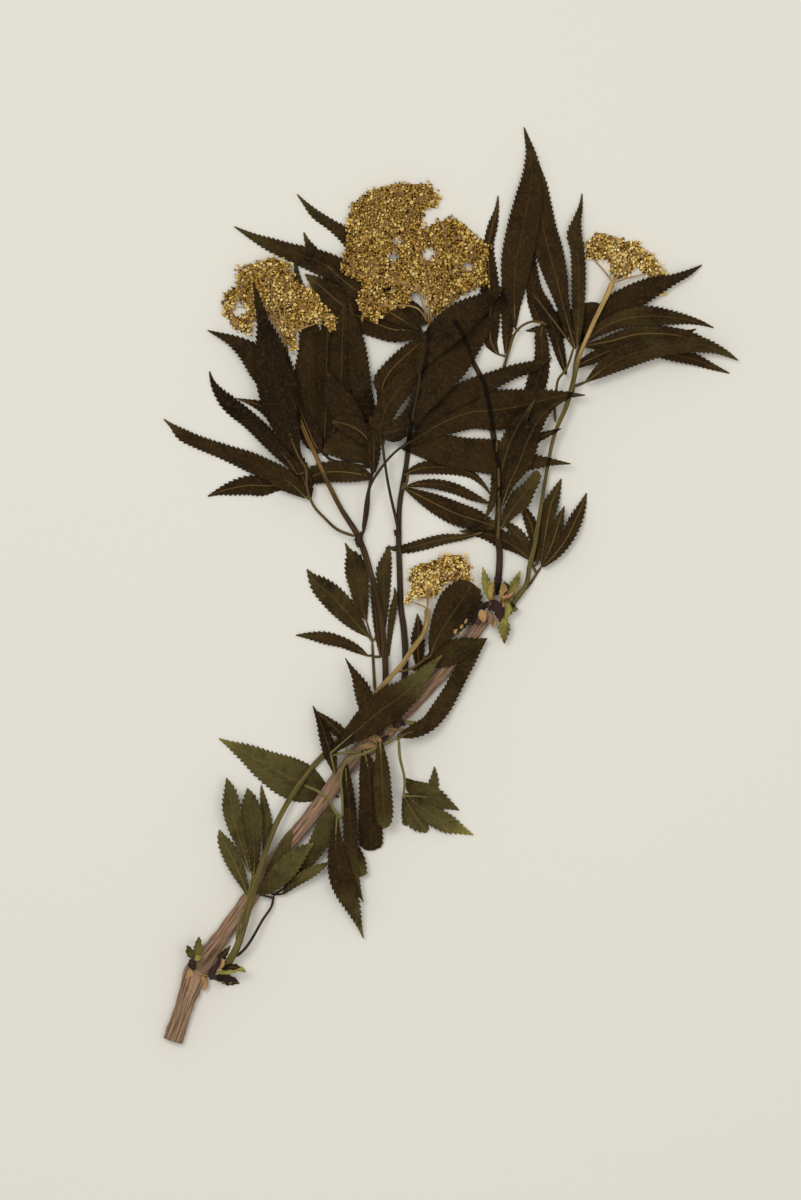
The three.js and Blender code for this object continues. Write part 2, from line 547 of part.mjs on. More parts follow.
  bud_base_left: {
    finish: 'greenBud',
    stalkWidth: 3.6,
    stalks: [[[-98, -143.5], [-96.3, -142], [-95.3, -139.5]]],
    leaflets: [
      [[-95, -140.5, 1], [-94.6, -138.3, 3.2], [-94.2, -135, 2.4], [-94, -132.5, 0.5]],
      [[-95.8, -141, 1], [-97.2, -138.6, 3], [-98.4, -135.6, 0.5]],
    ],
  },
  bud_base_right: {
    finish: 'bud',
    stalkWidth: 3.8,
    stalks: [[[-90, -147], [-87, -143], [-85, -139]]],
    leaflets: [
      [[-87, -142, 0.8], [-85.5, -140, 3], [-82, -135.5, 0.4]],
      [[-86, -144, 0.8], [-81, -143.5, 2.4], [-76.5, -145, 0.4]],
      [[-88, -148, 0.8], [-84, -149.5, 3.2], [-79, -150.5, 0.4]],
    ],
  },
  bud_top: {
    finish: 'greenBud',
    stalkWidth: 3.9,
    stalks: [[[10.3, -15.2], [11.4, -9.8], [15.2, -7.4], [20.5, -8.6]]],
    leaflets: [
      [[15.8, -7, 0.8], [14.2, -1, 3.6], [12.6, 6.5, 0.4]],
      [[20, -8.5, 0.8], [23.5, -2.5, 4], [26.8, 5, 0.5]],
      [[18.5, -8.5, 1], [22, -8.8, 5], [25.8, -9.5, 0.5]],
      [[20.5, -11, 0.8], [20.6, -16, 4.4], [20.8, -22.4, 0.4]],
      [[16.5, -7, 1], [15.8, -3, 3], [16.4, 1, 0.5]],
      [[19.5, -7, 1], [20.3, -3, 3], [20.8, 1.2, 0.5]],
    ],
  },
};

// ---------------------------------------------------------------- flower heads: gaps are x, y, radius
const heads = {
  flower_head_large: {
    outline: [
      [-36.5, 144], [-31, 148.5], [-22, 151], [-15, 151.8], [-7, 151], [-2.8, 145.5], [-4.5, 141.5],
      [-9, 141], [-10, 134.5], [-5, 137], [1, 139.3], [5.2, 136.5], [11, 131], [16, 126.5], [14.2, 119],
      [14.5, 113], [9.5, 110.5], [4.5, 108.5], [0, 105], [-4, 100.3], [-7, 100.5], [-9, 108.5],
      [-13, 110], [-15, 106], [-20, 103], [-25, 101.5], [-27.5, 98], [-33, 100], [-34.5, 105], [-33, 113],
      [-39, 116], [-41, 119], [-39, 131], [-38, 140],
    ],
    gaps: [[-19.5, 129.5, 1.6], [-21, 123.5, 1.8], [-7.8, 124.5, 2.2], [7, 119.8, 1.6], [-23, 111, 1.6]],
  },
  flower_head_left: {
    outline: [
      [-85.7, 106.5], [-84.5, 110.5], [-80.5, 112.5], [-80.5, 118.5], [-75, 121.5], [-66, 123.6],
      [-59.5, 121], [-58.5, 116], [-56, 113], [-50.5, 111.5], [-47.5, 105], [-42, 100.5], [-42.2, 96.5],
      [-44.8, 93.3], [-47.5, 98.3], [-53, 98], [-57.3, 95], [-57, 90], [-58.6, 86], [-61.5, 91],
      [-65, 95.5], [-67.5, 100], [-71.5, 100.8], [-73.8, 98.8], [-74.3, 94.6], [-78, 94], [-82, 97],
      [-84.7, 101],
    ],
    gaps: [[-79, 104, 2.6]],
  },
  flower_head_right: {
    outline: [
      [50.8, 125], [52, 130], [55, 132.7], [60.5, 132.3], [63, 130.5], [71, 130.2], [74, 126],
      [78, 123.5], [82.5, 117], [80.6, 108.4], [77, 110], [75, 115.8], [71, 119], [67, 115], [61, 115],
      [60, 121.5], [52, 122.6],
    ],
    gaps: [],
  },
  flower_head_small: {
    outline: [
      [-15.3, 3], [-14.5, 6.2], [-11, 8], [-5, 9.5], [-2, 11.6], [4.5, 11.5], [7, 9.5], [8.8, 3], [7, 0],
      [1.5, 1], [-2, -0.5], [-5, -5.5], [-8.5, -5.5], [-13, -5.5], [-17, -8], [-17.2, -6], [-15, -2.5],
    ],
    gaps: [],
  },
};

// ---------------------------------------------------------------- order in which the pieces are laid
const order = [
  'leaf_left_low', 'main_stem', 'leaf_right_lower', 'leaf_slip', 'shoot_centre_left', 'shoot_centre',
  'leaf_left_mid', 'leaf_curved_right', 'leaf_upper_left', 'leaf_centre_left', 'leaf_s1_single',
  'leaf_s1_mid', 'shoot_left', 'flower_head_right', 'leaf_right_fan', 'leaf_top', 'shoot_right',
  'leaf_top_left', 'leaf_centre', 'leaf_s3', 'flower_head_large', 'leaf_s1_upper', 'flower_head_left',
  'leaf_left', 'flower_head_small', 'leaf_by_small_cluster', 'leaf_base_left', 'leaf_base_right',
  'shoot_small', 'leaf_lower_mid', 'leaf_drooping', 'leaf_small_hanging', 'bud_base_left',
  'bud_base_right', 'bud_top',
];

// ---------------------------------------------------------------- map of heights
const mapColumns = 2 * mapHalfX + 1;
const mapRows = 2 * mapHalfY + 1;
let heights = new Float32Array(mapColumns * mapRows);

function cellIndex(x, y) {
  return (y + mapHalfY) * mapColumns + x + mapHalfX;
}

// Calls visit for each cell under the stretch from one station to the next.
function underStretch(a, b, spare, visit) {
  const reach = Math.max(a.left, a.right, b.left, b.right) + mapMargin + spare;
  const dx = b.x - a.x;
  const dy = b.y - a.y;
  const squared = dx * dx + dy * dy;
  for (let y = Math.floor(Math.min(a.y, b.y) - reach); y <= Math.max(a.y, b.y) + reach; y++) {
    for (let x = Math.floor(Math.min(a.x, b.x) - reach); x <= Math.max(a.x, b.x) + reach; x++) {
      const along = THREE.MathUtils.clamp(((x - a.x) * dx + (y - a.y) * dy) / squared, 0, 1);
      const offX = x - a.x - along * dx;
      const offY = y - a.y - along * dy;
      const side = dx * offY - dy * offX > 0 ? 'left' : 'right';
      const width = a[side] + along * (b[side] - a[side]);
      if (Math.hypot(offX, offY) <= width + mapMargin + spare) visit(cellIndex(x, y));
    }
  }
}

function highestUnder(map, a, b, spare = 0) {
  let highest = 0;
  underStretch(a, b, spare, (cell) => {
    highest = Math.max(highest, map[cell]);
  });
  return highest;
}

function raiseOver(map, a, b, top) {
  underStretch(a, b, 0, (cell) => {
    map[cell] = Math.max(map[cell], top);
  });
}

function clearOf(height) {
  return height > 0 ? height + clearGap : 0;
}

// Lowest heights at which a line of stations clears the map, with no stretch steeper than slope.
function layLine(map, stations, slope, spare = 0) {
  const needs = stations.slice(1).map((b, k) => clearOf(highestUnder(map, stations[k], b, spare)));
  const lifts = stations.map((s, k) => Math.max(needs[k - 1] ?? 0, needs[k] ?? 0));
  const step = (k) => {
    const before = stations[k - 1];
    return slope * Math.hypot(stations[k].x - before.x, stations[k].y - before.y);
  };
  for (let k = 1; k < lifts.length; k++) lifts[k] = Math.max(lifts[k], lifts[k - 1] - step(k));
  for (let k = lifts.length - 1; k > 0; k--) lifts[k - 1] = Math.max(lifts[k - 1], lifts[k] - step(k));
  return lifts;
}

// ---------------------------------------------------------------- solids
function solidOf(points, triangles) {
  return new wasm.Manifold(new wasm.Mesh({
    numProp: 3,
    vertProperties: new Float32Array(points.flat()),
    triVerts: new Uint32Array(triangles.flat()),
  }));
}

// Closed solid through rings that each have the same number of points, turning right about the way along.
function loftOf(rings) {
  const sides = rings[0].length;
  const triangles = [];
  for (let k = 0; k + 1 < rings.length; k++) {
    for (let i = 0; i < sides; i++) {
      const here = k * sides + i;
      const next = k * sides + (i + 1) % sides;
      triangles.push([here, next + sides, next], [here, here + sides, next + sides]);
    }
  }
  const last = (rings.length - 1) * sides;
  for (let i = 1; i + 1 < sides; i++) {
    triangles.push([0, i, i + 1], [last, last + i + 1, last + i]);
  }
  return solidOf(rings.flat(), triangles);
}

// Sections: across from -1 to 1, up from 0 to 1, flat below.
const sections = {
  four: [[1, 0], [1, 1], [-1, 1], [-1, 0]],
  six: [[0.5, 0], [1, 0.5], [0.5, 1], [-0.5, 1], [-1, 0.5], [-0.5, 0]],
  eight: [[0.5, 0], [1, 0.3], [1, 0.7], [0.5, 1], [-0.5, 1], [-1, 0.7], [-1, 0.3], [-0.5, 0]],
};

// One ring: a section across the way of travel at a station, from its underside up to its height.
function ringAt(station, section) {
  return sections[section].map(([across, up]) => {
    const half = across > 0 ? station.right : station.left;
    return [
      station.x + station.wayY * across * half,
      station.y - station.wayX * across * half,
      station.z + up * station.height,
    ];
  });
}

function addWays(stations) {
  stations.forEach((station, k) => {
    const before = stations[Math.max(0, k - 1)];
    const after = stations[Math.min(stations.length - 1, k + 1)];
    const length = Math.hypot(after.x - before.x, after.y - before.y);
    station.wayX = (after.x - before.x) / length;
    station.wayY = (after.y - before.y) / length;
  });
}

function setHeights(stations, lifts) {
  stations.forEach((station, k) => {
    station.z = lifts[k];
  });
}

function raiseLine(map, stations) {
  for (let k = 1; k < stations.length; k++) {
    const a = stations[k - 1];
    const b = stations[k];
    raiseOver(map, a, b, Math.max(a.z, b.z) + Math.max(a.height, b.height));
  }
}

// ---------------------------------------------------------------- stems
function roundStations(points, step) {
  const curve = new THREE.CatmullRomCurve3(points.map(([x, y, width]) => new THREE.Vector3(x, y, width)));
  const count = Math.max(1, Math.round(curve.getLength() / step));
  return curve.getSpacedPoints(count).map((p) => (
    { x: p.x, y: p.y, left: p.z / 2, right: p.z / 2, height: p.z * pressed }
  ));
}

function layStem({ points, slope, section }) {
  const stations = roundStations(points, stemStep);
  addWays(stations);
  setHeights(stations, layLine(heights, stations, slope));
  raiseLine(heights, stations);
  return loftOf(stations.map((station) => ringAt(station, section)));
}

// ---------------------------------------------------------------- leaves
function nearestOn(lines, x, y) {
  let best = { distance: Infinity };
  for (const line of lines) {
    for (let k = 1; k < line.length; k++) {
      const a = line[k - 1];
      const b = line[k];
      const squared = (b.x - a.x) ** 2 + (b.y - a.y) ** 2;
      const along = THREE.MathUtils.clamp(
        ((x - a.x) * (b.x - a.x) + (y - a.y) * (b.y - a.y)) / squared, 0, 1,
      );
      const px = THREE.MathUtils.lerp(a.x, b.x, along);
      const py = THREE.MathUtils.lerp(a.y, b.y, along);
      const distance = Math.hypot(px - x, py - y);
      const z = THREE.MathUtils.lerp(a.z, b.z, along);
      if (distance < best.distance) best = { distance, x: px, y: py, z };
    }
  }
  return best;
}

// Stations of a leaflet's blade: two for each saw tooth, which points to the tip.
function bladeStations(points) {
  const curve = new THREE.CatmullRomCurve3(points.map(([x, y, width]) => new THREE.Vector3(x, y, width)));
  const teeth = Math.max(2, Math.round(curve.getLength() / toothPitch));
  const rows = [[0, 1]];
  for (let tooth = 0; tooth < teeth; tooth++) {
    rows.push([(tooth + notchAt) / teeth, tooth ? 1 - toothDepth : 1], [(tooth + pointAt) / teeth, 1]);
  }
  rows.push([1, 1]);
  return rows.map(([s, share]) => {
    const point = curve.getPointAt(s);
    const half = Math.max(s === 1 ? tipHalf : stalkHalf, point.z / 2 * share);
    return { x: point.x, y: point.y, left: half, right: half, height: bladeThick };
  });
}

// A leaflet: its blade lies on the map, and its stalk runs from inside the leaf's stalk to the blade.
function layLeaflet(row, number, ground, blades, stalkLines, stalkHeight) {
  const blade = bladeStations(row);
  addWays(blade);
  setHeights(blade, layLine(blades, blade, bladeSlope));
  const root = nearestOn(stalkLines, blade[0].x, blade[0].y);
  root.z += (stalkHeight - bladeThick) / 2 + rootStep * (number % rootLevels - (rootLevels - 1) / 2);
  const count = root.distance < shortStalk ? 0 : Math.ceil(root.distance / stalkStep);
  const narrow = { left: stalkHalf, right: stalkHalf, height: bladeThick };
  const stalk = [{ ...narrow, x: root.x, y: root.y }];
  for (let k = 1; k < count; k++) {
    const x = THREE.MathUtils.lerp(root.x, blade[0].x, k / count);
    const y = THREE.MathUtils.lerp(root.y, blade[0].y, k / count);
    stalk.push({ ...narrow, x, y });
  }
  const joined = [...stalk, ...blade.slice(count ? 0 : 1)];
  const clear = layLine(ground, joined, Infinity);
  for (let k = 1; k < count; k++) {
    joined[k].z = Math.max(clear[k], THREE.MathUtils.lerp(root.z, blade[0].z, k / count));
  }
  joined[0].z = root.z;
  addWays(joined);
  raiseLine(blades, blade);
  return { solid: loftOf(joined.map((station) => ringAt(station, 'four'))), line: joined };
}

function layLeaf({ stalks, leaflets, stalkWidth = rachisWidth }) {
  const ground = heights.slice();
  const blades = heights.slice();
  const stalkHeight = stalkWidth * rachisHeight / rachisWidth;
  const stalkLines = [];
  const solids = [];
  for (const points of stalks) {
    const line = roundStations(points.map(([x, y]) => [x, y, stalkWidth]), stemStep);
    line.forEach((station) => {
      station.height = stalkHeight;
    });
    addWays(line);
    setHeights(line, layLine(ground, line, shootSlope, stalkSpare).map((z) => z + stalkLift));
    if (stalkLines.length) line[0].z = nearestOn(stalkLines, line[0].x, line[0].y).z;
    stalkLines.push(line);
    solids.push(loftOf(line.map((station) => ringAt(station, 'six'))));
  }
  const lines = [...stalkLines];
  for (const [number, row] of leaflets.entries()) {
    const { solid, line } = layLeaflet(row, number, ground, blades, stalkLines, stalkHeight);
    solids.push(solid);
    lines.push(line);
  }
  heights = blades;
  lines.forEach((line) => raiseLine(heights, line));
  return solids.reduce((sum, solid) => sum.add(solid));
}

// ---------------------------------------------------------------- flower heads
function seededRandom(seed) {
  let state = seed;
  return () => {
    state = (state * 1664525 + 1013904223) >>> 0;
    return state / 2 ** 32;
  };
}

function isInside(outline, x, y) {
  let inside = false;
  outline.forEach(([ax, ay], k) => {
    const [bx, by] = outline[(k + 1) % outline.length];
    if ((ay > y) !== (by > y) && x < ax + (y - ay) / (by - ay) * (bx - ax)) inside = !inside;
  });
  return inside;
}

const keyRow = 1000;           // a corner's key is its row times this, plus its column

// A head: one small peak for each flower on a thin core of stalks and buds, with loose flowers at the rim.
function layHead({ outline, gaps }, seed) {
  const random = seededRandom(seed);
  const lowX = Math.min(...outline.map(([x]) => x));
  const lowY = Math.min(...outline.map(([, y]) => y));
  const columns = Math.ceil((Math.max(...outline.map(([x]) => x)) - lowX) / floretPitch);
  const rows = Math.ceil((Math.max(...outline.map(([, y]) => y)) - lowY) / floretPitch);
  const taken = new Set();
  const key = (i, j) => j * keyRow + i;
  const has = (i, j) => taken.has(key(i, j));
  for (let j = 0; j < rows; j++) {
    for (let i = 0; i < columns; i++) {
      const x = lowX + (i + 0.5) * floretPitch;
      const y = lowY + (j + 0.5) * floretPitch;
      const open = gaps.some(([gapX, gapY, radius]) => Math.hypot(x - gapX, y - gapY) < radius);
      if (isInside(outline, x, y) && !open) taken.add(key(i, j));
    }
  }
  for (let j = 1; j < rows; j++) {
    for (let i = 1; i < columns; i++) {
      const cross = has(i, j) && has(i - 1, j - 1) && !has(i - 1, j) && !has(i, j - 1);
      const counter = has(i - 1, j) && has(i, j - 1) && !has(i, j) && !has(i - 1, j - 1);
      if (cross || counter) taken.add(cross ? key(i - 1, j) : key(i, j));
    }
  }
  const reach = rimFloret + mapMargin + cornerShift / 2;
  const cells = [...taken].map((k) => ({ i: k % keyRow, j: Math.floor(k / keyRow) }));
  const overCell = ({ i, j }, visit) => {
    const startX = lowX + i * floretPitch - reach;
    const startY = lowY + j * floretPitch - reach;
    const span = floretPitch + 2 * reach;
    for (let y = Math.ceil(startY); y <= startY + span; y++) {
      for (let x = Math.ceil(startX); x <= startX + span; x++) {
        visit(cellIndex(x, y));
      }
    }
  };
  const lifts = new Map();
  const cornersOf = ({ i, j }) => [key(i, j), key(i + 1, j), key(i + 1, j + 1), key(i, j + 1)];
  for (const cell of cells) {
    let need = 0;
    overCell(cell, (index) => {
      need = Math.max(need, heights[index]);
    });
    for (const corner of cornersOf(cell)) lifts.set(corner, Math.max(lifts.get(corner) ?? 0, clearOf(need)));
  }
  for (let pass = 0; pass < settlePasses; pass++) {
    for (const [corner, lift] of lifts) {
      for (const beside of [corner - 1, corner + 1, corner - keyRow, corner + keyRow]) {
        if (lifts.has(beside) && lifts.get(beside) < lift - bladeSlope * floretPitch) {
          lifts.set(beside, lift - bladeSlope * floretPitch);
        }
      }
    }
  }
  const points = [];
  const triangles = [];
  const below = new Map();
  const above = new Map();
  for (const [corner, lift] of lifts) {
    const x = lowX + (corner % keyRow) * floretPitch + cornerShift * (random() - 0.5);
    const y = lowY + Math.floor(corner / keyRow) * floretPitch + cornerShift * (random() - 0.5);
    below.set(corner, points.push([x, y, lift]) - 1);
    above.set(corner, points.push([x, y, lift + headCore + coreUneven * random()]) - 1);
  }
  const rim = [];
  for (const cell of cells) {
    const corners = cornersOf(cell);
    const middle = [0, 1, 2].map((axis) => (
      corners.reduce((sum, corner) => sum + points[below.get(corner)][axis], 0) / corners.length
    ));
    const peak = points.push([
      middle[0] + peakShift * (random() - 0.5),
      middle[1] + peakShift * (random() - 0.5),
      middle[2] + headCore + floretRise * THREE.MathUtils.lerp(lowFlower, 1, random()),
    ]) - 1;
    const [a, b, c, d] = corners.map((corner) => below.get(corner));
    triangles.push([a, c, b], [a, d, c]);
    const beside = [[0, -1], [1, 0], [0, 1], [-1, 0]];
    corners.forEach((corner, k) => {
      const next = corners[(k + 1) % 4];
      triangles.push([above.get(corner), above.get(next), peak]);
      if (!has(cell.i + beside[k][0], cell.j + beside[k][1])) {
        triangles.push([below.get(corner), below.get(next), above.get(next)]);
        triangles.push([below.get(corner), above.get(next), above.get(corner)]);
        rim.push([points[below.get(corner)], points[below.get(next)]]);
      }
    });
  }
  let solid = solidOf(points, triangles);
  for (const [from, to] of rim) {
    if (random() > rimShare) continue;
    solid = solid.add(floretAt((from[0] + to[0]) / 2, (from[1] + to[1]) / 2, (from[2] + to[2]) / 2, random));
  }
  for (const cell of cells) {
    const top = Math.max(...cornersOf(cell).map((corner) => lifts.get(corner))) + headCore + floretRise;
    overCell(cell, (index) => {
      heights[index] = Math.max(heights[index], top);
    });
  }
  return solid;
}

// A loose flower: five petal points round a raised middle.
function floretAt(x, y, z, random) {
  const petals = 5;
  const turn = random() * Math.PI;
  const points = [[x, y, z + rimLift], [x, y, z + headCore + rimPeak]];
  const triangles = [];
  for (let petal = 0; petal < petals; petal++) {
    const angle = turn + petal * 2 * Math.PI / petals;
    const radius = rimFloret * THREE.MathUtils.lerp(shortPetal, 1, random());
    points.push([x + radius * Math.cos(angle), y + radius * Math.sin(angle), z + headCore * petalLevel]);
    const here = 2 + petal;
    const next = 2 + (petal + 1) % petals;
    triangles.push([0, next, here], [1, here, next]);
  }
  return solidOf(points, triangles);
}

// ---------------------------------------------------------------- the branch
function meshOf(name, finish, solid) {
  const { vertProperties, triVerts } = solid.simplify(finest).getMesh();
  const geometry = new THREE.BufferGeometry();
  geometry.setAttribute('position', new THREE.BufferAttribute(vertProperties, 3));
  geometry.setIndex(new THREE.BufferAttribute(triVerts, 1));
  const material = new THREE.MeshStandardMaterial({ ...finishes[finish], metalness: 0 });
  const mesh = new THREE.Mesh(geometry, material);
  mesh.name = name;
  return mesh;
}

const branch = new THREE.Group();
for (const name of order) {
  if (stems[name]) branch.add(meshOf(name, stems[name].finish, layStem(stems[name])));
  if (leaves[name]) branch.add(meshOf(name, leaves[name].finish, layLeaf(leaves[name])));
  if (heads[name]) branch.add(meshOf(name, 'flower', layHead(heads[name], headSeed)));
}

const middle = new THREE.Box3().setFromObject(branch).getCenter(new THREE.Vector3());
branch.position.set(-middle.x, -middle.y, 0);

export default branch;
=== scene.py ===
# Pressed flowering branch of elder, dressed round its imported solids.
# Everything is laid in the same order and by the same rule as the solids, so each piece stays where its
# node is.
import bpy
import json
import math
import random
import numpy as np
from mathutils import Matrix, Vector, noise

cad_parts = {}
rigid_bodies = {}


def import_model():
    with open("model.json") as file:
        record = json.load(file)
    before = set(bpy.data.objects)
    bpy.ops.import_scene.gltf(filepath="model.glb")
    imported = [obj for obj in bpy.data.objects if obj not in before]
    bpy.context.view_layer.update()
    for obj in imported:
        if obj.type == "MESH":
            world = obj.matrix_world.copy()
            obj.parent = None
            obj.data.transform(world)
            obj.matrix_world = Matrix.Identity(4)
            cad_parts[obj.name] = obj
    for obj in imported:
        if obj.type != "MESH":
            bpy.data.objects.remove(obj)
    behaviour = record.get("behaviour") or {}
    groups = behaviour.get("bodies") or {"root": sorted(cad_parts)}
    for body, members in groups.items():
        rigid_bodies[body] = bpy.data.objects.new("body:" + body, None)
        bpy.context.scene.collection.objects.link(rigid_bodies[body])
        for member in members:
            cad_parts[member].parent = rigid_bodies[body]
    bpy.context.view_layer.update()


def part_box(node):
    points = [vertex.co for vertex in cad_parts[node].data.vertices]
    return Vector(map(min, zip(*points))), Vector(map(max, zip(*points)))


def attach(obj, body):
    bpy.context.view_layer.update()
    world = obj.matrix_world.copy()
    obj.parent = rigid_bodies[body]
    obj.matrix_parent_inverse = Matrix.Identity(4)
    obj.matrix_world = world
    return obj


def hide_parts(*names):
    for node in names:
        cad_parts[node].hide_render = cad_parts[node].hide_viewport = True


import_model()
mm = 0.001

# ---- laying rule, the same numbers as the solids
laying = {
    "bladeThick": 0.6, "gap": 0.3, "toothPitch": 9.5, "toothDepth": 0.2, "notchAt": 0.2, "pointAt": 0.85,
    "stalkHalf": 0.5, "tipHalf": 0.3, "rachisWidth": 1.6, "rachisHeight": 1.3, "pressed": 0.8,
    "bladeSlope": 0.4, "shootSlope": 0.3, "stemStep": 7, "stalkStep": 5,
    "shortStalk": 2, "stalkSpare": 1.5, "stalkLift": 0.12, "rootStep": 0.06,
    "headPitch": 3.5, "headCore": 1.3, "floretRise": 1.9, "rimFloret": 2, "margin": 0.75,
    "mapX": 130, "mapY": 190, "curveSteps": 200, "headPasses": 12, "rimSpare": 0.5, "anySlope": 1e9,
}

# stems: points are x, y, width in mm; turn is the y where the skin starts and ends changing, and by how
# much; slim narrows the fine stem
stems = {
    "main_stem": {"slot": "wood", "slope": 0.05, "points": [
        (-104, -172, 7.6), (-99.5, -158, 6.9), (-95, -146, 9), (-91, -140, 7.2), (-85, -132, 6.1),
        (-77, -121, 5.9), (-64, -102, 5.8), (-52.5, -88, 5.8), (-43, -75, 5.8), (-36, -66, 6.2),
        (-27, -58, 7.6), (-20, -51.5, 5.8), (-5, -36, 5.2), (6, -23, 5), (14, -11.5, 5.6)]},
    "shoot_centre_left": {"slot": "brown_stem", "slope": 0.3, "points": [
        (-20, -54, 3), (-17, -38, 2.6), (-16.5, -28, 2.4), (-17, -18, 2.4), (-18.2, -8, 2.2), (-18.6, 3, 2.2),
        (-19, 20, 2.1), (-18.5, 31, 1.9), (-16, 46, 1.9), (-13.5, 66, 1.8), (-11, 75, 1.8), (-8.5, 85, 1.8),
        (-7.5, 97, 2)]},
    "shoot_left": {"slot": "gold_stem", "slope": 0.3, "turn": (26, 40, 1.0), "points": [
        (-26, -57, 2.8), (-24.3, -45, 2.4), (-24, -30, 2.4), (-25, -18, 2.4), (-27, -6, 2.3), (-29.5, 4, 2.3),
        (-34, 17.5, 2.3), (-41, 29, 1.9), (-46, 39, 1.8), (-50, 48, 1.7), (-57, 64, 1.6), (-61, 84, 1.6),
        (-61.5, 90, 1.6)]},
    "shoot_centre": {"slot": "brown_stem", "slope": 0.3, "points": [
        (17.4, -4, 2.8), (18.5, 2, 2.6), (19, 11, 2.4), (18.2, 20, 2.4), (19, 36, 2.2), (18.5, 45, 2.2),
        (17, 54, 2.1), (15, 68, 2), (13, 76, 2), (9, 84, 1.8), (6, 92, 1.8), (2, 99, 1.8)]},
    "shoot_right": {"slim": 0.82, "slot": "green_stem", "slope": 0.3, "turn": (80, 94, 1.0), "points": [
        (20, -12, 2.6), (25, -6, 2.4), (29, 0, 2.2), (30.3, 7, 2.2), (32, 14, 2.1), (35.5, 35, 1.7),
        (39.5, 56, 1.8), (44, 67, 2.2), (47, 78, 2.2), (48.3, 84, 2), (51, 91, 1.9), (55, 100, 1.9),
        (58, 106, 2.1), (61.5, 113.5, 3)]},
    "shoot_small": {"slot": "green_stem", "slope": 0.3, "turn": (-60, -36, 0.55), "points": [
        (-85, -145, 3), (-80.5, -138, 2.8), (-77.5, -130, 2.4), (-71.5, -108, 2.1), (-64, -88, 2),
        (-54, -72, 2.1), (-40, -56.5, 2), (-25, -38, 1.9), (-18.2, -30.6, 1.9), (-13.5, -23.9, 1.9),
        (-10.1, -19.2, 1.9), (-8.4, -14.4, 2.1), (-8.2, -9, 2.4)]},
}

